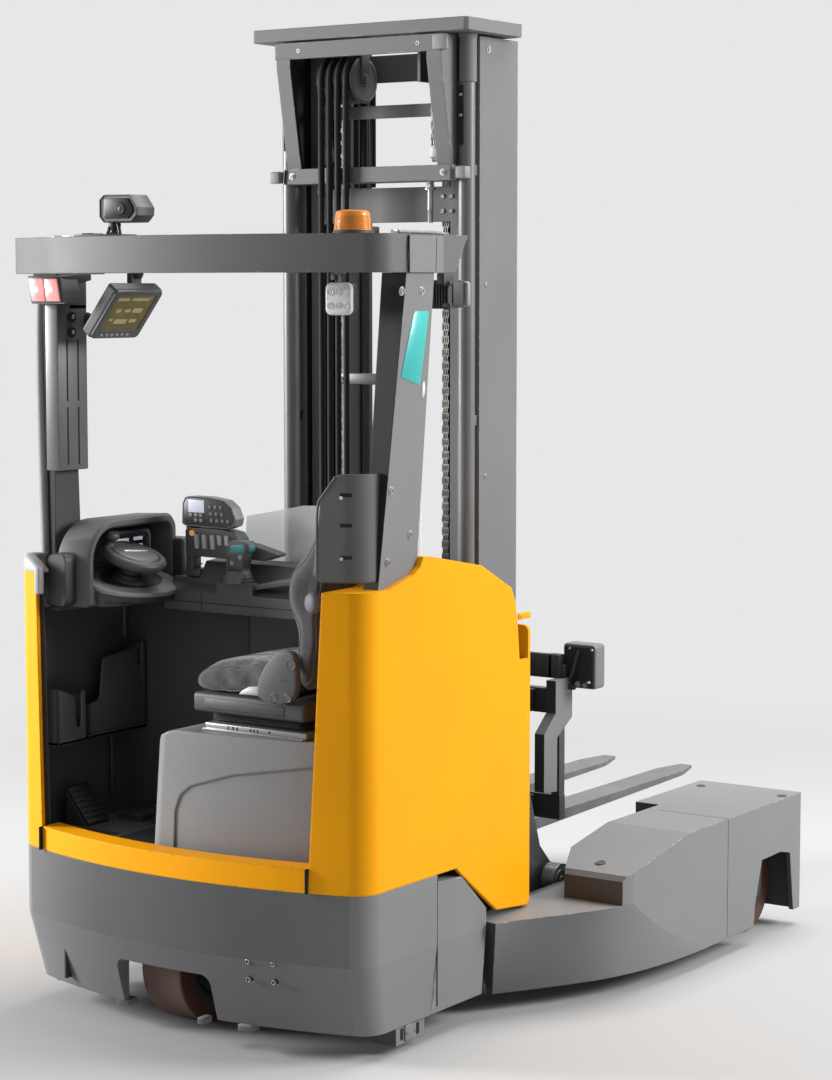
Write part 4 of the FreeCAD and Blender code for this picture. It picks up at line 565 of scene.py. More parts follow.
def posts():
    """The right post's blank badges and bolts, and the left post's caps, tube and accessory rail."""
    place = frame_at(POST_FOOT, Y, POST_UP)

    def spots(points):
        """Points of the outer face, given as (y, z), in the face's own frame."""
        return [(y, (z - POST_FOOT.z) / POST_UP.z) for y, z in points]

    label = Piece("post_badge_blank")
    shape = spots([(-1001, 1990), (-1060, 1990), (-1068, 1980), (-1108, 1826), (-1104, 1818), (-1026, 1797),
                   (-1018, 1803), (-996, 1982)])
    label.prism(shape, 0.1, 1.3, "xy", 0.35, where=place)
    label.done("teal_badge", "guard_paint")
    sticker = Piece("post_disc_blank")
    sticker.prism(spots([(-1001 + 8 * c, 1783 + 23 * s) for c, s in circle(12)]), 0.1, 0.9, "xy", 0.2,
                  where=place)
    sticker.done("white_plastic", "guard_paint")
    bolts = Piece("post_bolts")
    for y, z in ((-1126, 2042), (-1034, 2042), (-1124, 1523), (-1024, 1400), (-1123, 1334), (-1010, 1215)):
        bolts.bolt(post_face(y, z), POST_OUT, 9, 5, 12.5)
    bolts.done("bolt_steel", "guard_paint")

    cap = Piece("left_cover_cap")
    path = [(-609, -1092, 1292), (-609, -1150, 1296), (-608.5, -1184, 1298), (-606, -1203, 1300),
            (-599.5, -1219, 1300), (-586, -1236, 1299), (-564, -1251, 1296), (-539, -1260, 1288),
            (-515, -1267, 1277), (-499, -1270, 1268)]
    rings = []
    for k, (x, y, z) in enumerate(path):
        a, b = path[max(k - 1, 0)], path[min(k + 1, len(path) - 1)]
        run = Vector((b[0] - a[0], b[1] - a[1], 0)).normalized()
        inward = Vector((-run.y, run.x, 0))
        section = ((-1.6, 1253), (-2.2, 1257), (-1.8, z - 13), (1.5, z - 5), (8, z), (26, z), (32, z - 5),
                   (34, 1253))
        rings.append([Vector((x, y, height)) + inward * depth for depth, height in section])
    cap.loft(rings)
    cap.block((-514.6, -1276, 1192), (-494, -1252, 1268), 6, 3)
    cap.done("cap_grey", "guard_paint", angle=40)

    # the left post's round rear tube, side channel and accessory rail
    tube = Piece("left_post_tube")
    tube.tube([(-566, -1158, 1144), (-578, -1151, 1300), (-604, -1132, 1600), (-622, -1116, 1850),
               (-630, -1104, 2000), (-626, -1098, 2082)], 15, 18, 2)
    tube.done("guard_light", "guard_paint")
    # Painted shade: a black bar along the groove of the post's side channel.
    groove = Piece("left_post_groove")
    groove.tube([(-553, -1163, 1170), (-584, -1136, 1600), (-604, -1112, 2000), (-606, -1108, 2070)],
                6, 10, 1)
    groove.done("seam_black_and_hole_shade", "guard_paint")
    cap = Piece("left_post_cap")
    cap.prism([(-600, 1140), (-528, 1140), (-528, 1196), (-536, 1228), (-552, 1247), (-578, 1252),
               (-600, 1249)], -1196, -1160, "xz", 9, 3)
    cap.done("cap_grey", "guard_paint")
    rail = Piece("accessory_rail")
    x0, x1, y0, y1 = -566, -518, -1160, -1034
    rail.block((x0, y0, 1532), (x1, y1, 2006), 4)
    rail.block((x0, -1110, 1990), (x1, y1, 2089), 3)
    rail.done("rail_dark", "guard_paint")
    # Painted shade: black fill for the rail's slots and for the recesses round its screws.
    slots, screws = Piece("rail_slots"), Piece("rail_screws")
    for y in (y0 + 40, y0 + 86):
        for z0, z1 in ((1548, 1712), (1730, 1905)):
            slots.block((x1 - 0.6, y - 3.2, z0), (x1 + 0.5, y + 3.2, z1), 0.2)
    for z in (1925, 1968):
        slots.lathe([(15, 0), (15, 8), (12, 11), (6, 11)], facing((x1, -1104, z), X), 24)
        screws.button((x1 + 10, -1104, z), X, 6, 3)
    slots.done("seam_black_and_hole_shade", "guard_paint")
    screws.done("bolt_steel", "guard_paint")


def roof_parts():
    """The guard's lifting eyes, its joint lines and the rear camera on its foot."""
    top = corners("overhead_guard")[1].z - 1
    eye = Piece("guard_lifting_parts")
    eye.lathe([(30, 0), (30, 4), (26, 7), (10, 8)], facing((-480, -1180, top), Z), 28)
    for y in (-1110, -1050):
        eye.lathe([(11, 0), (11, 8), (8, 11), (4, 11)], facing((606, y, top), Z), 6)
    eye.tube([(612, -1100, top + 7), (612, -905, top + 7), (612, -880, top + 3)], 5, 10, 1)
    eye.done("bolt_steel", "guard_paint")
    seam = Piece("guard_joint_lines")
    face = 651.35
    for y in (-1108, -982):
        seam.prism([(y - 1.1, 2091), (y + 1.1, 2091), (y + 4.1, 2184), (y + 1.9, 2184)], face - 1, face, "yz")
    seam.done("seam_black_and_hole_shade", "guard_paint")

    low = corners("roof_camera")[0]
    body = Piece("roof_camera_casing")
    outline = [(-229, 2240), (-216, 2226), (-112, 2226), (-94, 2244), (-93, 2266), (-118, 2300),
               (-214, 2301), (-229, 2288)]
    levels = ((-1306, 0.90), (-1309, 0.94), (-1300, 1.0), (-1240, 1.0), (-1228, 0.9), (-1226, 0.7))
    body.loft(layers(outline, levels, "xz", (-161, 2263)))
    body.block((-320, low.y + 2, low.z + 0.2), (-155, -1236, low.z + 5), 1.5)
    body.block((-300, -1300, low.z - 1), (-262, -1250, low.z + 9), 2)
    body.lathe([(20, 0), (20, 5), (13, 9), (9, 14), (14, 22), (17, 30), (14, 38), (8, 42)],
               facing((-206, -1268, low.z), Z), 26)
    body.tube([(-222, -1282, low.z + 2), (-214, -1276, low.z + 34)], 5, 10, 0)
    body.tube([(-176, -1282, low.z + 2), (-190, -1274, low.z + 38)], 5, 10, 0)
    body.done("camera_casing", "camera_casing")
    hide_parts("roof_camera")
    eyes = Piece("roof_camera_lens")
    eyes.prism([(-210, 2240), (-204, 2236), (-126, 2236), (-108, 2254), (-110, 2268), (-126, 2290),
                (-208, 2290)], -1309.6, -1306, "xz", 0.6)
    eyes.lathe([(17, 0), (17, 3), (14, 5), (11, 5), (10, 3.5), (6, 4.5)], facing((-150, -1308, 2262), -Y), 28)
    eyes.done("lens_black", "camera_casing")


def beacon():
    """A ribbed amber dome on a black base."""
    low, high = corners("beacon")
    x, y = 420.0, (low.y + high.y) / 2
    place = facing((x, y, low.z), Z)
    base = Piece("beacon_base")
    base.lathe([(56, 0), (57, 3), (56, 8), (55, 16), (52, 22), (52, 25), (45, 25)], place, 48)
    base.block((x - 60, y - 45, low.z), (x + 50, y + 45, low.z + 6), 3)
    base.done("rubber_black", "beacon_lens")
    lens = Piece("beacon_dome")
    profile = [(50, 22)]
    for k in range(9):
        ridge, z = 50.8 - k * 0.42, 25 + k * 4.6
        profile += [(ridge, z), (ridge - 1.4, z + 2.3)]
    profile += [(46, 68), (42.5, 74.5), (34, 77.5), (20, 78.6), (4, 78.8)]
    lens.lathe(profile, place, 64)
    lens.done("beacon_lens", "beacon_lens")
    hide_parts("beacon")


def tail_lamp():
    """Two red lenses with pale cores in one bezel, under a bracket."""
    y = corners("tail_lamp")[0].y
    case = Piece("tail_lamp_bezel")
    case.prism([(-597, 2081), (-482, 2081), (-468, 2009), (-585, 2009)], y - 3.5, y + 1, "xz", 1.6)
    case.done("lamp_casing", "lamp_casing")
    glass = Piece("tail_lamp_lenses")
    for outline in ([(-590, 2076), (-537, 2076), (-531, 2013), (-580, 2013)],
                    [(-533, 2076), (-487, 2076), (-475, 2013), (-527, 2013)]):
        glass.prism(outline, y - 6.5, y - 2, "xz", 2.2, 3)
    glass.done("tail_glow", "tail_lens")
    cores = Piece("tail_lamp_cores")
    for x in (-561, -508):
        cores.lathe([(9, 0), (8, 1.0), (5, 1.8), (2, 2.0)], facing((x, y - 6, 2046), -Y), 28)
    cores.done("tail_core", "tail_lens")
    over = Piece("tail_lamp_bracket")
    over.prism([(-1190, 2084), (-1120, 2089.5), (-1060, 2089.5), (-1060, 2072), (-1118, 2060),
                (-1186, 2078)], -592, -476, "yz", 2.5)
    over.done("lamp_casing", "lamp_casing")


def work_lamps():
    """A white lamp with six emitters on its round rear housing, and a finned one beside it."""
    at = Vector((500, -1194, 2022))
    turn = Matrix.Translation(at) @ turned(14)
    body = Piece("work_lamp_white")
    levels = ((-7, 0.92), (-10, 0.98), (-18, 1.0), (-25, 0.97), (-27, 0.90))
    body.loft(layers(rounded_outline(72, 84, 15), levels, "xz"), where=turn)
    body.done("white_plastic", "lamp_casing")
    rear = Piece("work_lamp_housing")
    levels = ((-9, 0.90), (-6, 0.95), (4, 0.95), (7, 0.88), (10, 0.96), (16, 0.96), (19, 0.88), (22, 0.96),
              (28, 0.94), (31, 0.86), (34, 0.92), (42, 0.78), (47, 0.5))
    rear.loft(layers(rounded_outline(72, 82, 18), levels, "xz"), where=turn)
    rear.block((492, at.y - 6, 2060), (508, at.y + 8, 2090), 2)
    rear.block((470, at.y - 10, 2070), (486, at.y + 4, 2089), 3)
    rear.done("bezel_grey", "lamp_casing")
    emitters = Piece("work_lamp_emitters")
    for u in (-22, 0, 22):
        for v in (-18, 18):
            emitters.lathe([(9, 0), (9, 1.4), (7.4, 1.6), (5.6, 0.7), (3.4, 0.8), (2.4, 1.9)],
                           turn @ facing((u, -27, v), -Y), 20)
    emitters.done("led_pale", "lamp_casing")
    fins = Piece("work_lamp_finned")
    x0, x1 = 519, 608
    for k in range(9):
        x = x0 + 5 + k * 9.2
        fins.prism([(-840, 1994), (-770, 1998), (-764, 2010), (-764, 2060), (-772, 2070), (-836, 2072),
                    (-846, 2050), (-846, 2010)], x - 1.7, x + 1.7, "yz", 0.6, 1)
    fins.block((x0 + 2, -828, 2000), (x1 - 4, -776, 2066), 6)
    fins.block((576, -868, 2060), (600, -820, 2090), 3)
    for z in (2004, 2062):
        fins.block((x0 + 66, -850, z - 6), (x1, -838, z + 6), 3)
    fins.done("rubber_black", "lamp_casing")
    Piece("work_lamp_finned_glass").block((x0 + 4, -768, 2000), (x1 + 2, -748, 2068), 8, 3).done(
        "lamp_grey", "lamp_casing")
    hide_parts("work_lamps")


def monitor():
    """A screen with a bezel and keys, tilted down from a ball mount under the guard."""
    tilt = turned(38, "Y")
    out, up = tilt @ X, tilt @ Z
    place = frame_at(Vector((-388, -1029, 1988)) + out * 20, Y, up)
    bezel = Piece("monitor_bezel")
    outer, hole = rounded_outline(200, 168, 14), rounded_outline(162, 122, 4, centre=(-2, 8))
    bezel.loft(layers(outer, ((-6, 1), (1.5, 1), (4, 0.98))) + layers(hole, ((4, 1.01), (0.6, 1))),
               where=place)
    bezel.block((94, 20, -34), (106, 78, -2), 4, where=place)
    bezel.done("bezel_grey", "monitor_plastic")
    screen = Piece("monitor_screen")
    screen.prism(rounded_outline(160, 120, 3, centre=(-2, 8)), 0.2, 1.4, "xy", where=place)
    screen.done("screen_olive", "monitor_plastic")
    marks = Piece("monitor_screen_shapes")
    for u, v, w, h in ((-50, 54, 48, 10), (22, 54, 72, 9), (-46, 14, 22, 12), (-8, 14, 24, 11),
                       (34, 15, 40, 16), (-58, -18, 16, 9), (-14, -24, 52, 16), (38, -22, 30, 12),
                       (60, 60, 14, 3)):
        marks.prism(rounded_outline(w, h, 2, 3, centre=(u, v)), 1.3, 1.7, "xy", where=place)
    marks.done("screen_marks", "monitor_plastic")
    keys = Piece("monitor_keys")
    for u in range(-66, 45, 22):
        keys.prism(rounded_outline(14, 9, 3.5, 3, centre=(u, -70)), 3.5, 6.2, "xy", 1.2, where=place)
    keys.done("key_grey", "monitor_plastic")
    mount = Piece("monitor_mount")
    mount.lathe([(16, -8), (20, 0), (22, 8), (20, 16), (12, 22), (10, 34), (16, 36), (16, 43)],
                facing((-395, -960, 2085), Z), 26)
    for y in (-975, -945):
        mount.bolt((-391, y, 2110), X, 6, 5, 9)
    mount.block((-408, -990, 2046), (-382, -938, 2064), 4)
    mount.tube([(-520, -1030, 1958), (-486, -1040, 1960), (-452, -1058, 1962)], 9, 14, 2)
    for x, size in ((-520, 20), (-504, 16)):
        mount.lathe([(size, -6), (size + 3, 0), (size, 6), (8, 8)],
                    facing((x, -1030, 1958), (-400 - x, -30, 6)), 24)
    mount.done("rubber_black", "monitor_plastic")


# ------------------------------------------------------------------ cab: console, wheel, pods and joystick
def arch(y0, y1, z0, z1, r0, r1, steps=8):
    """An outline in the Y-Z plane with two round upper corners of different size."""
    turns = [math.radians(90 * k / steps) for k in range(steps + 1)]
    return ([(y0, z0)] + [(y0 + r0 - r0 * math.cos(t), z1 - r0 + r0 * math.sin(t)) for t in turns]
            + [(y1 - r1 + r1 * math.sin(t), z1 - r1 + r1 * math.cos(t)) for t in turns]
            + [(y1, z0), ((y0 + y1) / 2, z0)])


COLUMN_TILT = 20
COLUMN_HEAD = Vector((-376, -1005, 1285))
COLUMN_AXIS = turned(COLUMN_TILT, "Y") @ Z


def console():
    """The hollow cowl around the steering wheel, its screws and the box on its left."""
    low, high = corners("steering_console")
    front = -391.0
    y0, y1 = -1184.0, high.y - 1
    cowl = Piece("console_cowl")
    cowl.loft([[(x, y, z) for y, z in arch(y0 + inset, y1 - inset, z0, z1, r0, r1)]
               for x, inset, z0, z1, r0, r1 in (
                   (low.x + 1, 0, 1152, 1391, 128, 42), (front - 9, 0, 1152, 1396, 128, 42),
                   (front, 6, 1158, 1389, 124, 40), (front, 20, 1200, 1375, 96, 32),
                   (front - 9, 26, 1204, 1369, 92, 30), (-484, 34, 1238, 1362, 60, 26))])
    cowl.done("trim_plastic", "trim_plastic", angle=40)
    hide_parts("steering_console")
    screws = Piece("console_screws")
    for y, z in ((y0 + 12, 1180), (y1 - 12, 1180), (y0 + 12, 1300), (y1 - 12, 1320)):
        screws.button((front - 4, y, z), X, 4, 3)
    screws.done("rubber_black", "trim_plastic")
    side = Piece("console_side_box")
    side.loft([[(x, y, z) for x, z in rounded_outline(width, 150, r, 5, (-473, 1230))]
               for y, width, r in ((-1228, 70, 16), (-1232, 72, 20), (-1216, 74, 22), (-1176, 74, 22))])
    side.done("boot_dark", "trim_plastic", angle=40)


def console_panel():
    """A panel square to the steering column, with a fascia under its bulging front edge."""
    plan = [(-498, -830), (-498, -1104), (-452, -1146), (-404, -1160), (-366, -1150), (-338, -1112),
            (-318, -1060), (-306, -1000), (-304, -940), (-314, -888), (-338, -846), (-372, -822)]
    middle, height = (-401, -990), 1216
    fall = math.tan(math.radians(COLUMN_TILT))

    def tilted(k, down):
        """The panel's outline at a scale, laid some way under its sloping top."""
        return [(x, y, height - fall * (x - middle[0]) - down) for x, y in resized(plan, middle, k, k)]

    foot = resized(plan, middle, 0.86, 0.94)
    dish = Piece("console_pale_dish")
    dish.loft([tilted(1.0, 12), tilted(1.0, 3), tilted(0.985, 0.6), tilted(0.965, 0)])
    dish.done("dish_grey", "trim_plastic", angle=40)
    fascia = Piece("console_shelf")
    fascia.loft([[(x, y, z) for x, y in foot] for z in (1152, 1160)] + [tilted(0.975, 30), tilted(0.985, 11)])
    fascia.block((-500, -812, 1156), (-352, -748, 1322), 10, 3)
    fascia.done("boot_dark", "trim_plastic", angle=40)
    well = Piece("console_dish_well")
    well.loft([[(-404 + 62 * k * c, -985 + 118 * k * s, height - fall * (62 * k * c - 3) + up)
                for c, s in circle(36)] for up, k in ((-2.0, 1.0), (1.6, 1.0), (2.2, 0.97), (0.8, 0.9))])
    well.done("rubber_black", "trim_plastic", angle=40)
    boot = Piece("console_column_boot")
    boot.lathe([(52, 0), (50, 6), (43, 12), (41, 20), (35, 25), (33, 35), (28, 40), (26, 50)],
               facing(COLUMN_HEAD - COLUMN_AXIS * 72, COLUMN_AXIS), 40)
    boot.done("rubber_black", "trim_plastic")

    hood = Piece("console_display_hood")
    hood.loft([[(x, y, z) for y, z in arch(-1046 + g, -850 - g, 1268 + g * 0.6, 1354 - g, 34, 20, 6)]
               for x, g in ((-488, 0), (-446, 0), (-440, 4), (-440, 11), (-446, 14))])
    hood.done("bezel_grey", "trim_plastic", angle=40)
    glass = Piece("console_display_glass")
    glass.loft([[(x, y, z) for y, z in arch(-1031, -866, 1278, 1339, 26, 14, 6)] for x in (-449, -445.5)])
    glass.done("display_dark", "trim_plastic")
    marks = Piece("console_display_shapes")
    for y, z, w, h in ((-975, 1321, 58, 16), (-905, 1325, 40, 10), (-905, 1305, 40, 8)):
        marks.prism(rounded_outline(w, h, 2, 3, centre=(y, z)), -445.6, -445.0, "yz")
    marks.done("screen_pale", "trim_plastic")


def steering_wheel():
    """A flat disc with a cap and a knob; the buttons beside it stay with the truck."""
    place = frame_at(COLUMN_HEAD, turned(COLUMN_TILT, "Y") @ X, Y)
    wheel = Piece("steering_disc")
    wheel.lathe([(0, -12), (44, -13), (60, -18), (74, -21), (88, -17), (94, -9), (96, -1), (94, 6), (88, 11),
                 (80, 13), (73, 12), (69, 8), (0, 8)], place, 72)
    wheel.lathe([(20, -80), (20, -12)], place, 32)
    wheel.done("wheel_grip", "steering_plastic", "steering_wheel", 50)
    cap = Piece("steering_cap")
    cap.lathe([(70, 6), (69.5, 10), (66, 13), (50, 15.5), (30, 17), (0, 17.4)], place, 64)
    cap.done("wheel_cap", "steering_plastic", "steering_wheel", 50)
    bar = Piece("steering_cap_bar")
    bar.prism(rounded_outline(84, 10, 4.6, 5), 15, 18.6, "xy", 1.4, 2, where=place @ turned(78))
    bar.done("silver_trim", "steering_plastic", "steering_wheel")
    knob = Piece("steering_knob")
    knob.lathe([(22, -4), (20, 8), (15, 14), (12, 20), (13, 25), (19, 31), (22, 38), (21, 45), (17, 50),
                (8, 52), (0, 52.2)], place @ Matrix.Translation((-66, -38, 0)), 36)
    knob.done("wheel_grip", "steering_plastic", "steering_wheel", 50)
    buttons = Piece("steering_buttons")
    for turn in (-64, -52, -40):
        spot = place @ turned(turn) @ Matrix.Translation((84, 0, -13)) @ Matrix.Rotation(0.9, 4, "Y")
        buttons.prism(rounded_outline(8, 14, 3, 3), 0, 4.5, "xy", 1.5, where=spot)
    buttons.done("silver_trim", "steering_plastic")
    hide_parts("steering_wheel")


def display_pod(face):
    """The upper pod, with a screen and rows of keys on its face."""
    outline = [(-317, 1372), (-308, 1366), (-150, 1362), (-124, 1372), (-118, 1392), (-132, 1424),
               (-160, 1444), (-220, 1452), (-290, 1452), (-306, 1448), (-316, 1430)]
    centre = (-217, 1409)
    shell = Piece("display_pod")
    levels = ((-46, 0.93), (-40, 0.99), (-12, 1.0), (-3, 1.0), (0, 0.985), (0.6, 0.955), (-1.2, 0.93))
    shell.loft(layers(outline, levels, centre=centre), where=face)
    shell.done("pod_rim", "pod_plastic", angle=28)
    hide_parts("control_pods")
    plate = Piece("display_pod_face")
    plate.prism(resized(outline, centre, 0.925, 0.90), -1.6, 0.4, "xy", 0.6, where=face)
    plate.done("face_dark", "pod_plastic")
    screen = Piece("display_pod_screen")
    screen.prism(rounded_outline(58, 36, 2, 3, centre=(-262, 1424)), 0.2, 1.6, "xy", 0.3, where=face)
    screen.done("screen_pale", "pod_plastic")
    keys = Piece("display_pod_keys")
    for u, v in ((-282, 1398), (-263, 1398), (-244, 1398), (-263, 1383), (-244, 1383)):
        keys.prism(rounded_outline(13, 10, 3, 3, centre=(u, v)), 0.2, 2.6, "xy", 0.8, where=face)
    for v, count, start in ((1424, 3, -212), (1404, 3, -208), (1385, 4, -206)):
        for k in range(count):
            keys.lathe([(5.6, 0), (5.6, 1.6), (4.2, 2.6), (0, 2.7)],
                       face @ Matrix.Translation((start + 20 * k, v, 0)), 18)
    keys.done("key_grey", "pod_plastic")


def switch_pod(face):
    """The lower pod, with five rockers, an amber lamp and a beak that reaches to the joystick."""
    box = Piece("switch_pod")
    outline = [(-308, 1284), (-296, 1278), (-150, 1276), (-118, 1284), (-106, 1302), (-112, 1336),
               (-128, 1354), (-170, 1361), (-300, 1361), (-309, 1352)]
    levels = ((-58, 0.9), (-50, 0.98), (-14, 1.0), (-4, 1.0), (0, 0.98), (0.4, 0.95))
    box.loft(layers(outline, levels, centre=(-208, 1318)), where=face @ Matrix.Translation((0, 0, -4)))
    box.prism([(-128, 1280), (-128, 1324), (-75, 1321), (18, 1299), (18, 1292), (-32, 1277)],
              -845, -800, "xz", 6, 3)
    box.block((-317, -843, 1216), (-290, -803, 1400), 5)
    box.block((-317, -847, 1216), (-263, -793, 1240), 6)
    box.done("pod_body", "pod_plastic", angle=28)
    rockers = Piece("switch_rockers")
    for u, v, tall in ((-262, 1322, 42), (-234, 1322, 42), (-204, 1322, 42), (-178, 1329, 30),
                       (-152, 1329, 30)):
        key = rounded_outline(15, tall, 3, 3)
        rockers.loft([[(u + du, v + dv, d) for du, dv in key] for d in (-4, -1)]
                     + [[(u + du * 0.86, v + dv * 0.94, 2.6 + (1.8 if dv > 0 else -1.4)) for du, dv in key]],
                     where=face)
    rockers.done("rocker_pale", "pod_plastic")
    amber = Piece("switch_pod_lamp")
    amber.lathe([(9, -4), (9, -1), (7, 2.4), (3, 3.4), (0, 3.5)],
                face @ Matrix.Translation((-281, 1345, 0)), 24)
    amber.done("amber_glow", "pod_plastic")


def joystick():
    """A capped lever on its bellows, and the seams and pad of the arm rest's ledge."""
    x, y = -78, -882
    cap = Piece("joystick_cap")
    cap.loft([[(x + u, y + v, z + 0.06 * u)
               for u, v in rounded_outline(sx * 2, sy * 2, min(sx, sy) * 0.7)]
              for z, sx, sy in ((1301, 30, 19), (1306, 36, 24), (1322, 37, 25), (1331, 33, 22),
                                (1335.5, 22, 14), (1336, 8, 6))])
    cap.done("teal_cap", "trim_plastic", angle=50)
    grip = Piece("joystick_grip")
    grip.loft([[(u, v, z) for u, v in rounded_outline(sx * 2, sy * 2, 10, centre=(x + dx, y))]
               for z, sx, sy, dx in ((1246, 27, 17, -14), (1256, 29, 18, -13), (1282, 33, 20, -10),
                                     (1302, 35, 21, -8), (1306, 34, 20, -8))])
    grip.done("face_dark", "trim_plastic", angle=50)
    thumb = Piece("joystick_buttons")
    for u, v in ((-70, 1290), (-100, 1272)):
        thumb.lathe([(8, -3), (8, 1), (6.4, 3), (0, 3.4)], facing((u, y - 19, v), -Y), 20)
    thumb.done("key_grey", "trim_plastic")
    boot = Piece("joystick_bellows")
    rings = []
    for k in range(9):
        shrink, spread = 1 - 0.045 * k, -2 if k % 2 else 4
        fold = rounded_outline((104 + spread) * shrink, (70 + spread) * shrink, 20, centre=(x - 15, y))
        rings.append([(u, v, 1214 + 4.1 * k) for u, v in fold])
    boot.loft(rings)
    boot.done("rubber_black", "trim_plastic", angle=50)
    ledge = Piece("ledge_seams")
    ledge.block((-356, -900.8, 1128), (-353.4, -862, 1181), 0.3)
    ledge.block((-215, -900.8, 1128), (-213, -890, 1181), 0.3)
    ledge.block((-350, -900.9, 1150), (425, -899.4, 1152), 0.2)
    ledge.done("seam_black_and_hole_shade", "trim_plastic")
    rest = Piece("arm_rest_pad")
    rest.prism([(-40, 1202), (-20, 1214), (60, 1232), (160, 1250), (236, 1258), (236, 1240), (-40, 1196)],
               -893, -858, "xz", 6, 3)
    rest.done("trim_plastic", "trim_plastic")


def storage():
    """The storage wall with its two open pockets."""
    low, high = corners("storage_panel")
    x0 = low.x + 2
    wall = Piece("storage_wall")
    wall.prism([(low.y + 4, low.z), (high.y, low.z), (high.y, high.z - 1), (low.y + 2, high.z - 1)],
               x0, x0 + 18, "yz", 3)
    wall.prism(rounded_outline(70, 250, 10, centre=(low.y + 60, 1020)), x0 + 16, x0 + 22, "yz", 4)
    wall.block((x0, low.y + 10, high.z - 14), (high.x - 2, high.y, high.z - 0.5), 3)
    wall.block((x0 + 16, high.y - 34, 1012), (x0 + 25, high.y - 26, 1120), 3)
    wall.done("trim_plastic", "trim_plastic")
    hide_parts("storage_panel")

    base, thick = 748, 6.0

    def pocket(name, y0, y1, depth, look, rim):
        """A tray that is open at the top; rim is its front's upper edge as (y, z) points."""
        item = Piece(name)
        x1 = x0 + depth
        item.prism([(y0, base), (y1, base)] + rim, x1 - thick, x1, "yz", 1.6)
        item.block((x0 + 10, y0, base), (x1, y0 + thick, rim[-1][1] - 2), 1.6)
        item.block((x0 + 10, y1 - thick, base), (x1, y1, rim[0][1] - 2), 1.6)
        item.block((x0 + 10, y0, base), (x1, y1, base + 10), 2)
        item.done(look, "trim_plastic")

    pocket("rear_pocket", -1200, -1078, 94, "pocket_light",
           [(-1078, 884), (-1084, 896), (-1094, 896), (-1098, 884), (-1100, 800), (-1106, 792),
            (-1116, 792), (-1121, 800), (-1124, 872), (-1134, 888), (-1200, 912)])
    pocket("front_pocket", -1056, -800, 84, "trim_plastic",
           [(-800, 1002), (-808, 1008), (-818, 1006), (-822, 940), (-830, 934), (-838, 940), (-840, 985),
            (-850, 992), (-980, 980), (-992, 972), (-1006, 868), (-1016, 856), (-1056, 850)])
    groove = Piece("pocket_base_groove")
    groove.prism([(-1052, 762), (-806, 762), (-806, 764.5), (-1052, 764.5)], x0 + 83.6, x0 + 84.4, "yz")
    groove.done("seam_black_and_hole_shade", "trim_plastic")
    Piece("wall_strip").block((-572, -893, 545), (-566, -882, 735), 2).done("trim_plastic", "trim_plastic")


def floor_parts():
    """Ribbed pads on the pedals and the foot rest, the pedals' levers, and the mat's ribs."""
    top = 505.0
    pads = Piece("pedal_pads")
    for x in (-470, -340):
        pads.block((x - 2, -982, top + 13), (x + 97, -848, top + 19), 4)
        for y in range(-974, -850, 16):
            pads.block((x + 6, y, top + 18), (x + 89, y + 6, top + 22), 1.6)
    pads.prism([(-470, top + 16), (-462, top + 8), (-538, top + 100), (-545, top + 108)],
               -1116, -1024, "xz", 3)
    for k in range(6):
        t = 0.12 + k * 0.15
        x, z = -466 - 76 * t, top + 12 + 92 * t
        pads.block((x - 2, -1112, z - 2), (x + 4, -1028, z + 5), 1.5)
    pads.done("rubber_black", "floor_mat")
    arms = Piece("pedal_levers")
    for x in (-420, -292):
        arms.tube([(x, -852, top + 12), (x, -826, top + 22), (x, -800, top + 60), (x, -792, top + 110)],
                  7, 12, 2)
        arms.lathe([(14, 0), (14, 10), (10, 14), (4, 14)], facing((x, -858, top + 10), Z), 20)
    arms.done("rail_steel", "floor_mat")
    mat = Piece("floor_mat_ribs")
    for k in range(17):
        x = -300 + k * 11
        mat.block((x, -1236 + abs(k - 3) * 0.4, top - 0.5), (x + 4, -1000, top + 2.0), 0.8, 1)
    for x in range(-452, -330, 11):
        mat.block((x, -1228, top - 0.5), (x + 4, -1130, top + 2.0), 0.8, 1)
    mat.done("rubber_black", "floor_mat")


def corner_pad():
    """Slots and screws that follow the pad's curved face, and a bead along its edge."""
    low, high = corners("corner_pad")
    # Painted shade: black fill for the pad's slots.
    slots = Piece("pad_slots")
    curve = [(524, -1238.2), (532, -1235.6), (540, -1232.3), (548, -1228.0), (553, -1224.6)]
    outline = [(x - 0.3, y - 0.5) for x, y in curve] + [(x, y + 2) for x, y in reversed(curve)]
    for z in (1516, 1437, 1353):
        slots.prism(outline, z - 5, z + 5, "xy")
    slots.done("seam_black_and_hole_shade", "pad_plastic")
    screws = Piece("pad_screws")
    for z in (1508, 1349):
        screws.button((528, -1237.2, z), -Y, 5.5, 2.4)
    screws.done("bolt_steel", "pad_plastic")
    rim = Piece("pad_edge_bead")
    rim.tube([(low.x + 9, -1255.5, low.z + 12), (low.x + 9, -1255.5, high.z - 78),
              (low.x + 24, -1251.5, high.z - 58), (low.x + 60, -1241.5, high.z - 6)], 3.2, 12, 2)
    rim.done("pad_plastic", "pad_plastic")


# ------------------------------------------------------------------ seat
VOXEL = 0.006  # metres, the grain of a stuffed piece's mesh
SWELL = 0.016  # metres, the furthest that a stuffed face moves out
ROOM_TO_SWELL = 9  # millimetres left free on a stuffed piece's sides
CLOTH_FRAMES = 20
CLOTH = {"use_pressure": True, "uniform_pressure_force": 4.0, "quality": 5, "mass": 0.3,
         "tension_stiffness": 15.0, "compression_stiffness": 15.0, "shear_stiffness": 5.0,
         "bending_stiffness": 0.5}
EDGE_ROOM = 34  # millimetres from a stuffed piece's side to its piping


def smooth_loop(points):
    """Cut a closed outline's corners twice to ease it."""
    for _ in range(2):
        pairs = list(zip(points, points[1:] + points[:1]))
        points = [(ax * a + bx * (1 - a), ay * a + by * (1 - a))
                  for (ax, ay), (bx, by) in pairs for a in (0.75, 0.25)]
    return points


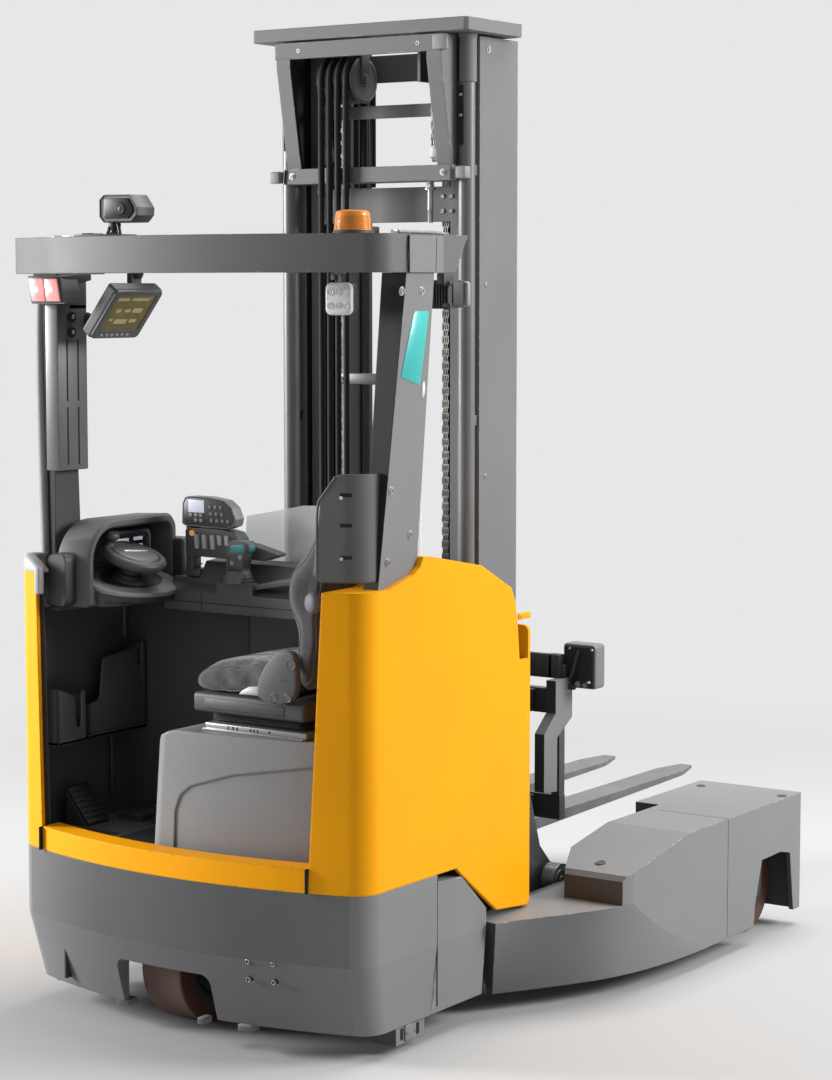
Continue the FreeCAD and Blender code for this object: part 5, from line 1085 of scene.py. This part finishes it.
def padded(name, outline, low, high):
    """A stuffed piece: a smaller shape is remeshed, blown up as cloth, and held between two corners."""
    base = Piece(name)
    loop = smooth_loop(outline)
    middle = [sum(p[k] for p in loop) / len(loop) for k in (0, 1)]
    y0, y1 = low.y + ROOM_TO_SWELL, high.y - ROOM_TO_SWELL
    levels = ((y0, 0.80), (y0 + 10, 0.93), (y0 + 30, 0.99), (y1 - 30, 0.99), (y1 - 10, 0.93), (y1, 0.80))
    base.loft(layers(loop, levels, "xz", middle))
    made = base.done("seat_fabric", "seat_fabric", angle=80)
    remesh = made.modifiers.new("remesh", "REMESH")
    remesh.mode = "VOXEL"
    remesh.voxel_size = VOXEL
    apply_all(made)
    rest = [v.co.copy() for v in made.data.vertices]
    blow_up(made)
    for vertex, start in zip(made.data.vertices, rest):
        step = vertex.co - start
        if step.length > SWELL:
            vertex.co = start + step * (SWELL / step.length)
        for k in range(3):
            vertex.co[k] = min(max(vertex.co[k], low[k] * MM), high[k] * MM)
    ease = made.modifiers.new("ease", "SMOOTH")
    ease.factor = 0.5
    ease.iterations = 14
    made.modifiers.new("smooth", "SUBSURF").levels = 1
    apply_all(made)
    for polygon in made.data.polygons:
        polygon.use_smooth = True
    return made


def blow_up(made):
    """Fill a piece with air pressure, as cloth."""
    cloth = made.modifiers.new("cloth", "CLOTH")
    for key, value in CLOTH.items():
        setattr(cloth.settings, key, value)
    cloth.settings.effector_weights.gravity = 0.0
    cloth.point_cache.frame_start = 1
    cloth.point_cache.frame_end = CLOTH_FRAMES
    for number in range(1, CLOTH_FRAMES + 1):
        bpy.context.scene.frame_set(number)
    apply_all(made)


def apply_all(made):
    """Turn a piece's modifiers into mesh."""
    graph = bpy.context.evaluated_depsgraph_get()
    fresh = bpy.data.meshes.new_from_object(made.evaluated_get(graph))
    made.modifiers.clear()
    old = made.data
    made.data = fresh
    bpy.data.meshes.remove(old)


def outline_at(made, y):
    """The loop where a plane of constant Y cuts a piece, as ordered points in millimetres."""
    bm = bmesh.new()
    bm.from_mesh(made.data)
    cut = bmesh.ops.bisect_plane(bm, geom=bm.verts[:] + bm.edges[:] + bm.faces[:], plane_co=(0, y * MM, 0),
                                 plane_no=Y)
    left = [e for e in cut["geom_cut"] if isinstance(e, bmesh.types.BMEdge)]
    here = left[0].verts[0]
    loop, left = [here.co / MM], set(left)
    while step := next((e for e in here.link_edges if e in left), None):
        left.discard(step)
        here = step.other_vert(here)
        loop.append(here.co / MM)
    bm.free()
    return loop[::6]


def closed_tube(piece, path, radius):
    """A thin bar around a closed path."""
    rings = []
    for i, p in enumerate(path):
        heading = (path[(i + 1) % len(path)] - path[i - 1]).normalized()
        side = heading.cross(Y).normalized()
        rings.append([p + radius * (side * c + Y * s) for c, s in circle(8)])
    piece.loft(rings, closed=True)


def seat():
    """A stuffed cushion and backrest with piping and stitched channels."""
    low, high = corners("seat_cushion")
    cushion = padded("seat_cushion_cover",
                     [(6, 962), (330, 962), (330, 1030), (300, 1040), (250, 1042), (150, 1036), (60, 1024),
                      (8, 1002), (-6, 984), (-4, 968)],
                     low + Vector((1, 1, 1)), high + Vector((-2, -1, 6)))
    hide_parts("seat_cushion")
    low_b, high_b = corners("seat_backrest")
    back = padded("seat_back_cover",
                  [(344, 966), (394, 966), (398, 1120), (402, 1200), (416, 1290), (446, 1380), (482, 1460),
                   (516, 1530), (512, 1546), (490, 1546), (474, 1520), (432, 1462), (396, 1384), (352, 1326),
                   (322, 1282), (313, 1240), (326, 1170), (346, 1110)],
                  low_b + Vector((1, 1, 2)), high_b + Vector((-1, -1, -1)))
    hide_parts("seat_backrest")
    piping = Piece("seat_piping")
    for made, lows, highs in ((cushion, low, high), (back, low_b, high_b)):
        for y in (lows.y + EDGE_ROOM, highs.y - EDGE_ROOM):
            closed_tube(piping, outline_at(made, y), 2.6)
    piping.done("piping", "seat_fabric", angle=60)
    stitch = Piece("seat_channels")
    for made in (cushion, back):
        for y in (-1090, -966):
            closed_tube(stitch, outline_at(made, y), 1.5)
    stitch.done("seam_thread", "seat_fabric", angle=60)


def seat_frame():
    """Side shells, lever, knob and belt, on a sprung base with slide rails."""
    low, high = corners("seat_suspension")
    shell = Piece("seat_side_shells")
    outline = smooth_loop([(258, 952), (392, 952), (391, 1082), (372, 1099), (330, 1092), (290, 1058),
                           (264, 1012)])
    for a, b in ((low.y + 0.5, low.y + 25), (high.y - 25, high.y - 0.5)):
        shell.prism(outline, a, b, "xz", 5, 3)
    shell.done("seat_shell", "seat_frame", angle=40)
    caps = Piece("seat_shell_caps")
    for x, z, r in ((318, 968, 13), (364, 972, 13), (376, 1062, 16)):
        caps.lathe([(r, -3), (r, 0.6), (r - 2, 1.8), (r - 4, 0.8), (r - 5, 0.8), (2, 1.4)],
                   facing((x, low.y + 1, z), -Y), 30)
    caps.block((328, low.y - 0.4, 1016), (366, low.y + 2, 1019), 0.6)
    caps.done("seat_frame", "seat_frame")
    lever = Piece("seat_handle")
    lever.loft([[(x, low.y + 12 + w * c, z + h * s) for c, s in circle(16)]
                for x, z, w, h in ((196, 968, 3, 2), (204, 972, 6, 6), (226, 978, 9, 11), (262, 980, 9, 13),
                                   (268, 979, 5, 9))])
    lever.done("handle_pale", "seat_frame", angle=60)
    knob = Piece("lumbar_knob")
    knob.lathe([(10, -20), (11, 0), (24, 2), (27, 8), (27, 20), (23, 26), (10, 28), (0, 28.4)],
               facing((434, -1216, 1226), (-16, -40, 2)), 30)
    knob.done("knob_pale", "seat_frame", angle=50)
    Piece("belt_buckle").block((296, -1208, 1056), (330, -1190, 1082), 5, 3).done(
        "buckle_red", "seat_frame")
    stalk = Piece("belt_stalk")
    stalk.tube([(352, -1203, 1000), (344, -1202, 1030), (326, -1200, 1060)], 8, 12, 1)
    stalk.tube([(330, -1196, 1070), (250, -1130, 1052), (170, -1040, 1049)], 2.2, 8, 2)
    stalk.done("rubber_black", "seat_frame")

    housing = Piece("suspension_cover")
    housing.block((17, -1224.6, 903), (393, -831.4, 955), 9, 3)
    housing.block((60, -1226.4, 914), (330, -1222, 941), 3)
    housing.done("seat_frame", "seat_frame")
    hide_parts("seat_suspension")
    bellows = Piece("suspension_bellows")
    rings = []
    for k in range(11):
        fold = 0 if k % 2 else 10
        rings.append([(x, y, 874 + 3 * k)
                      for x, y in rounded_outline(326 - fold, 306 - fold, 24, centre=(201, -1028))])
    bellows.loft(rings)
    bellows.done("rubber_black", "seat_frame", angle=60)
    rails = Piece("seat_slide_rails")
    for y in (-1204, -914):
        rails.block((42, y, 853), (386, y + 62, 871), 3)
        rails.block((36, y - 5, 850), (378, y + 67, 856), 1.5)
    rails.done("rail_grey", "seat_frame")
    # Painted shade: black fill for the holes in the slide rail.
    holes = Piece("slide_rail_holes")
    for x in (120, 136, 150, 196, 208, 220, 260):
        holes.block((x, -1204.6, 858), (x + 6, -1202, 867), 1.5)
    holes.done("seam_black_and_hole_shade", "seat_frame")


# ------------------------------------------------------------------ mast, chains and forks
def chain_links(piece, x, path):
    """Leaf-chain plates and pins laid along a path in the Y-Z plane."""
    pitch = 19.0
    spans = [(Vector((0, *a)), Vector((0, *b))) for a, b in zip(path, path[1:])]

    def at(distance):
        for a, b in spans:
            length = (b - a).length
            if distance <= length:
                break
            distance -= length
        return a.lerp(b, min(1.0, distance / length))

    for k in range(int(sum((b - a).length for a, b in spans) / pitch)):
        start, end = at(k * pitch), at((k + 1) * pitch)
        heading = (end - start).normalized()
        place = Matrix((X, heading.cross(X), heading)).transposed().to_4x4()
        place.translation = (start + end) / 2 + X * x
        for offset in (-10.5, -3.5, 3.5, 10.5) if k % 2 else (-7, 0, 7):
            piece.prism([(-6.2, -12), (6.2, -12), (7.2, 0), (6.2, 12), (-6.2, 12), (-7.2, 0)],
                        offset - 1.5, offset + 1.5, "yz", where=place)
        piece.lathe([(2.6, -13), (2.6, 13)], place @ Matrix.Translation((0, 0, 9.5)) @ turned(90, "Y"), 8)


def chains():
    """Two leaf chains over their wheels, with anchors and threaded rods."""
    low, high = corners("lift_chains")
    y_rear, y_front, z_wheel = -304.0, -244.0, 2715.0
    middle, reach = (y_rear + y_front) / 2, (y_front - y_rear) / 2
    arc = [(middle - reach * math.cos(math.radians(a)), z_wheel + reach * math.sin(math.radians(a)))
           for a in range(0, 181, 18)]
    for side, name in SIDES:
        x = side * (high.x - 13)
        links = Piece("lift_chain_" + name)
        chain_links(links, x, [(y_rear, 2420)] + arc + [(y_front, low.z + 4)])
        links.done("chain_steel", "chain_steel", "mast_middle", 40)
        anchor = Piece("chain_anchor_" + name)
        anchor.block((x - 15, y_rear - 9, 2428), (x + 15, y_rear + 9, 2466), 4, 3)
        for dx in (-9, 0, 9):
            anchor.block((x + dx - 2.6, y_rear - 9, 2460), (x + dx + 2.6, y_rear + 9, 2484), 1.5)
        anchor.done("cast_grey", "chain_steel", "mast_middle", 40)
    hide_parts("lift_chains")
    rods = Piece("chain_anchor_rods")
    thread = [point for z in range(-60, -19, 3) for point in ((8.6, z), (7.6, z + 1.5))]
    for side in (-1, 1):
        place = facing((side * (high.x - 13), y_rear - 26, 2300), Z)
        rods.lathe([(8, -20), (8, 60)], place, 18)
        rods.lathe(thread, place, 16)
        for z in (42, 54):
            rods.lathe([(13, z), (13, z + 10)], place, 6)
        rods.lathe([(17, 36), (17, 41)], place, 24)
    rods.done("bolt_steel", "mast_paint", "reach_carriage", 40)


def pulleys():
    """Rims on the row of hose pulleys, their bolt, and the corrugated hose covers."""
    y, z = -330.0, 2663.0
    rims = Piece("pulley_rims")
    rims.lathe([(60, -14), (66, -12), (67, -6), (60, -3), (55, -6), (52, -8), (30, -8), (27, -4), (20, -3),
                (18, -6), (18, 2), (12, 3), (12, -1)], facing((-37.5, y, z), X), 56)
    for x in range(-167, -46, 30):
        rims.lathe([(40, 0), (68.5, 0.4), (69.5, 2), (68.5, 3.6), (40, 4)], facing((x, y, z), X), 56)
    rims.done("pulley_grey", "pulley_plastic", "mast_middle", 30)
    Piece("pulley_bolt").bolt((-36.5, y, z), X, 10, 8, 15).done(
        "bolt_steel", "pulley_plastic", "mast_middle")
    sleeve = Piece("corrugated_hose_covers")
    folds = [point for k in range(64) for point in ((10.6, k * 5.0), (9.3, k * 5.0 + 2.5))]
    for x in (-150.0, -120.0, -90.0, -60.0):
        sleeve.lathe(folds, facing((x, -399, 2320), Z), 14)
    sleeve.done("hose_rubber", "hose_rubber", "mast_middle", 60)


def mast_details():
    """The outer stage's collars, blocks, bolts and welds, and the middle stage's bolts and clamps."""
    collars, slots, nuts, lugs, bolts, welds = (Piece(name) for name in (
        "lift_rod_collars", "cylinder_bleed_slots", "cylinder_bleed_nuts", "mast_head_blocks", "mast_bolts",
        "mast_welds"))
    rod_x, cylinder_x, rail_x = 318, 316, 343.3
    lugs.block((270, -436, 2728), (rod_x, -420, 2772), 4)
    for side in (-1, 1):
        collars.lathe([(26.6, -66), (28.6, -66), (28.6, 60), (31, 62), (31, 71.5), (17.6, 71.5), (17.6, 2),
                       (26.6, 2), (26.6, -65.9)], facing((side * rod_x, -326.6, 2708), Z), 40)
        # Painted shade: a black plate fills each oval opening.
        slots.prism(rounded_outline(15, 172, 7, centre=(side * cylinder_x, 2546)), -354.6, -349, "xz")
        for z in (2604, 2546):
            nuts.bolt((side * cylinder_x, -354.4, z), -Y, 5.5, 4)
        low_x, high_x = sorted((side * rod_x, side * 352))
        lugs.block((low_x, -388, 2364), (high_x, -356, 2399), 4)
        bolts.bolt((side * rail_x, -250, 2738), X * side, 8, 5, 11)
        for z in (420, 940, 1500, 2060):
            bolts.button((side * rail_x, -262, z), X * side, 6, 3)
        bolts.bolt((side * 272, -381, 2383), -Y, 7, 5, 11)
        bolts.bolt((side * 214, -422, 2750), -Y, 8, 5, 11)
        welds.tube([(side * 300, -384, 2362), (side * 296, -384, 2403)], 3, 8, 0)
        welds.tube([(side * 295, -424, 2728), (side * 247, -424, 2728)], 3, 8, 0)
        welds.tube([(side * 342, -297.5, 262), (side * 250, -297.5, 262)], 3.4, 8, 0)
    collars.done("mast_paint", "mast_paint", "mast_middle", 40)
    slots.done("seam_black_and_hole_shade", "mast_paint", "reach_carriage")
    nuts.done("bolt_steel", "mast_paint", "reach_carriage")
    lugs.done("guard_light", "mast_paint", "reach_carriage")
    bolts.done("bolt_steel", "mast_paint", "reach_carriage")
    welds.done("mast_paint", "mast_paint", "reach_carriage", 60)
    inner = Piece("mast_stage_bolts")
    for z in (2275, 2318, 2571):
        for x in (-236, -205, 205, 236):
            inner.bolt((x, -280.4, z), -Y, 7, 4.5)
    inner.done("bolt_steel", "mast_paint", "mast_middle")
    bars = Piece("mast_stage_clamps")
    for z in (1180, 1760, 2200):
        bars.block((-176, -276, z), (-34, -262, z + 34), 4)
        for x in (-164, -46):
            bars.bolt((x, -276, z + 17), -Y, 6, 4)
    bars.done("rail_steel", "mast_paint", "mast_middle")


def reach_parts():
    """The reach carriage's bolts and roller hubs, and its cylinder's gland."""
    bolts, hubs = Piece("reach_carriage_bolts"), Piece("reach_roller_hubs")
    plate_x, roller_x = 442.4, 496.6
    for side in (-1, 1):
        for y, z in ((-190, 320), (-230, 440), (-250, 560), (-270, 680), (-350, 640), (-350, 300)):
            bolts.bolt((side * plate_x, y, z), X * side, 11, 7, 15)
        for y in (-72, -372):
            hubs.lathe([(34, -1), (33, 2), (26, 3), (24, 1.4), (14, 1.4), (13, 4), (9, 5), (4, 5)],
                       facing((side * roller_x, y, 275), X * side), 36)
    bolts.done("bolt_steel", "carriage_paint", "reach_carriage")
    hubs.done("rail_steel", "roller_steel", "reach_carriage")
    gland = Piece("reach_cylinder_gland")
    place = facing((250, corners("reach_cylinder")[1].y - 34, 158), Y)
    gland.lathe([(32.4, -12), (36, -10), (36, 22), (34, 26), (34, 33), (21, 33.6)], place, 40)
    gland.lathe([(32.3, -260), (34, -258), (34, -246), (32.3, -244)], place, 40)
    gland.done("cylinder_paint", "cylinder_paint")


def forks():
    """Each fork's latch and wear plate, and the notches in the upper bar."""
    for side, name in SIDES:
        hook = Piece("fork_latch_" + name)
        x = side * 155
        hook.block((x - 18, 150, 824), (x + 18, 196, 838), 4)
        hook.lathe([(11, 0), (11, 14), (8, 20), (8, 26), (12, 30), (12, 36), (9, 40)],
                   facing((x, 172, 832), Z), 24)
        hook.done("rail_steel", "fork_steel", "fork_" + name)
        plate = Piece("fork_heel_wear_" + name)
        plate.block((x - 30, 196.6, 420), (x + 30, 198.6, 446), 0.8)
        plate.done("fork_steel", "fork_steel", "fork_" + name)
    # Painted shade: black fill in the notches along the upper bar.
    bar = Piece("fork_bar_notches")
    low, high = corners("fork_carriage")
    for x in range(-320, 321, 80):
        bar.block((x - 6, low.y + 6, high.z - 0.4), (x + 6, low.y + 26, high.z + 0.5), 0.6)
    bar.done("seam_black_and_hole_shade", "carriage_paint", "fork_carriage")


def carriage_camera():
    """The fork camera's recess, cable, stay, plugs and lens."""
    # Painted shade: a black rim fills the recess round the camera.
    rim = Piece("carriage_camera_recess")
    x0, y, z0, z1 = 376.0, 129.0, 826.0, 964.0
    rim.prism(rounded_outline(94, 116, 8, centre=(x0 + 54, (z0 + z1) / 2)), y - 0.6, y + 2, "xz", 0.4)
    rim.done("seam_black_and_hole_shade", "camera_casing", "fork_carriage")
    parts = Piece("carriage_camera_fittings")
    parts.tube([(x0 + 18, y - 6, z0 + 14), (x0 + 40, y - 10, z0 + 40), (x0 + 52, y - 8, z0 + 90),
                (x0 + 60, y - 2, z0 + 116)], 5, 12, 2)
    parts.block((x0 - 2, y - 22, z0 + 22), (x0 + 20, y + 2, z0 + 72), 5)
    parts.block((x0 + 10, y - 14, z0 - 4), (x0 + 50, y + 2, z0 + 14), 4)
    parts.block((x0 - 150, y - 32, z0 + 30), (x0 - 18, y - 10, z0 + 104), 4, 2)
    parts.block((x0 - 34, y - 32, z0 + 30), (x0 + 8, y + 1, z0 + 104), 4, 2)
    parts.done("rubber_black", "camera_casing", "fork_carriage")
    plugs = Piece("carriage_camera_plugs")
    for x, z, r in ((x0 + 58, z0 + 16, 9), (x0 + 82, z0 + 14, 7), (x0 + 96, z0 + 22, 6)):
        plugs.lathe([(r, -1), (r, 6), (r * 0.8, 9), (r * 0.5, 9), (r * 0.5, 14), (0, 14)],
                    facing((x, y - 1, z), -Y), 20)
    for x in (x0 + 104, x0 + 26):
        plugs.bolt((x, y - 0.5, z1 - 16), -Y, 5, 3)
    plugs.done("bolt_steel", "camera_casing", "fork_carriage")
    glass = Piece("carriage_camera_glass")
    glass.lathe([(36, -2), (36, 3), (33, 5), (26, 3.6), (24, 1.6), (12, 3.4), (0, 4.2)],
                facing((434, 195, 895), Y), 44)
    glass.done("lens_black", "camera_casing", "fork_carriage")


def arch_shade_plate():
    """A dark plate behind the drive wheel's arch that closes the view through the hull; its black is painted
    shade.
    """
    Piece("wheel_arch_shade_plate").block((-424, -1270, 100), (-416, -930, 420), 2).done(
        "rubber_black", "chassis_paint")


def arm_plugs():
    """Plugs in the arms' tops, the foremost square to a slope."""
    plugs = Piece("arm_plugs")
    for side in (-1, 1):
        for x, y, z, out in ((521, 769, 430, Z), (815, 767, 430, Z), (709, -203, 378.4, (0, -3.6, 21))):
            plugs.lathe([(15, 0), (15, 2.6), (12.5, 3.6), (11, 1.8), (6, 1.6), (5, 2.6)],
                        facing((side * x, y, z - 1), out), 28)
    plugs.done("plug_dark", "arm_paint")


def wheel_hub(name, centre, profile, steps, face, holes, bolt):
    """Both faces of a wheel's hub, each turned from a profile at its face and ringed by bolts."""
    hub = Piece(name)
    count, radius, depth = holes
    for out in (1, -1):
        hub.lathe(profile, facing(centre + X * out * face, X * out), steps)
        for c, s in circle(count):
            hub.bolt(centre + Vector((out * (face - depth), radius * c, radius * s)), X * out, *bolt)
    return hub


def wheels():
    """Hubs on both faces of the load wheels and the drive wheel."""
    for side, name in SIDES:
        hub = wheel_hub("load_wheel_hub_" + name, Vector((side * 700, 670, 142.5)),
                        [(68, -6), (66, 0.6), (58, 1.4), (52, -3), (40, -5), (36, -1), (34, 1.2)],
                        48, 50, (5, 46, 4), (6, 4))
        hub.done("wheel_fork_steel", "load_tyre", "load_wheel_" + name, 35)
    low, high = corners("drive_wheel")
    hub = wheel_hub("drive_wheel_hub", (low + high) / 2,
                    [(116, -8), (114, 0.2), (106, 0.8), (98, -6), (70, -12), (62, -12), (58, -5), (50, -4)],
                    64, 70, (7, 84, 12), (9, 7, 12))
    hub.done("drive_casting", "drive_tyre", "drive_wheel", 35)


cab_shell()
posts()
roof_parts()
beacon()
tail_lamp()
work_lamps()
monitor()
console()
console_panel()
steering_wheel()
pod_face = frame_at((0, corners("control_pods")[0].y - 0.4, 0), X, Z)
display_pod(pod_face)
switch_pod(pod_face)
joystick()
storage()
floor_parts()
corner_pad()
seat()
seat_frame()
chains()
pulleys()
mast_details()
reach_parts()
forks()
carriage_camera()
arch_shade_plate()
arm_plugs()
wheels()


# ------------------------------------------------------------------ stage, lights and camera
PALE = (0.80, 0.80, 0.80, 1)


def stage():
    """A pale floor that keeps the truck's shadow and fades into the background."""
    mesh = bpy.data.meshes.new("floor")
    mesh.from_pydata([(-60, -60, 0), (60, -60, 0), (60, 60, 0), (-60, 60, 0)], [], [(0, 1, 2, 3)])
    floor = bpy.data.objects.new("floor", mesh)
    bpy.context.scene.collection.objects.link(floor)
    mat = bpy.data.materials.new("floor_pale")
    mat.use_nodes = True
    tree = mat.node_tree
    shader = tree.nodes["Principled BSDF"]
    shader.inputs["Base Color"].default_value = (0.46, 0.46, 0.46, 1)
    shader.inputs["Roughness"].default_value = 0.9
    shader.inputs["Specular IOR Level"].default_value = 0.1
    glow = add(tree, "Emission", {0: PALE})
    far = vectors(tree, "LENGTH", place_in(tree))["Value"]
    fade = stretch(tree, far, 1.9, 5.2, interpolation_type="SMOOTHSTEP")
    amount = maths(tree, "MULTIPLY", fade, seen(tree))
    mix = add(tree, "MixShader", {0: amount, 1: shader.outputs[0], 2: glow.outputs[0]})
    tree.links.new(mix.outputs[0], tree.nodes["Material Output"].inputs[0])
    mesh.materials.append(mat)


def seen(tree):
    """1 for rays from the camera or off gloss and glass, otherwise 0."""
    rays = add(tree, "LightPath", {}).outputs
    direct = maths(tree, "MAXIMUM", rays["Is Camera Ray"], rays["Is Glossy Ray"])
    return maths(tree, "MAXIMUM", direct, rays["Is Transmission Ray"])


def area(name, at, aim, size, power):
    """A square area light that looks at a point."""
    data = bpy.data.lights.new(name, "AREA")
    data.energy = power
    data.shape = "SQUARE"
    data.size = size
    lamp = bpy.data.objects.new(name, data)
    lamp.location = at
    lamp.rotation_euler = (Vector(aim) - Vector(at)).to_track_quat("-Z", "Y").to_euler()
    bpy.context.scene.collection.objects.link(lamp)


def soft_light():
    """A dim grey sky for light, behind a pale backdrop for the eye."""
    world = bpy.context.scene.world = bpy.data.worlds.new("studio")
    world.use_nodes = True
    tree = world.node_tree
    sky = tree.nodes["Background"]
    sky.inputs[0].default_value = (0.86, 0.87, 0.88, 1)
    sky.inputs[1].default_value = 0.30
    backdrop = add(tree, "Background", {0: PALE})
    both = add(tree, "MixShader", {0: seen(tree), 1: sky.outputs[0], 2: backdrop.outputs[0]})
    tree.links.new(both.outputs[0], tree.nodes["World Output"].inputs[0])


def place_camera():
    """A long lens behind and to the right of the truck, looking slightly down."""
    data = bpy.data.cameras.new("camera")
    data.sensor_fit = "VERTICAL"
    data.sensor_height = 36.0
    data.lens = 86.22
    camera = bpy.data.objects.new("camera", data)
    camera.location = (4.4509, -6.6466, 2.0471)
    camera.rotation_euler = (math.radians(90 - 5.540), 0, math.radians(34.294))
    bpy.context.scene.collection.objects.link(camera)
    bpy.context.scene.camera = camera


stage()
area("left", (-7.0, -4.2, 2.9), (-0.4, -1.0, 0.8), 3.0, 1080)
area("right", (6.2, 2.9, 4.0), (0.6, 0.2, 0.9), 3.0, 560)
area("top", (0.8, 2.2, 7.6), (0, 0, 0.5), 5.0, 560)
soft_light()
place_camera()
bpy.context.scene.view_settings.view_transform = "Standard"
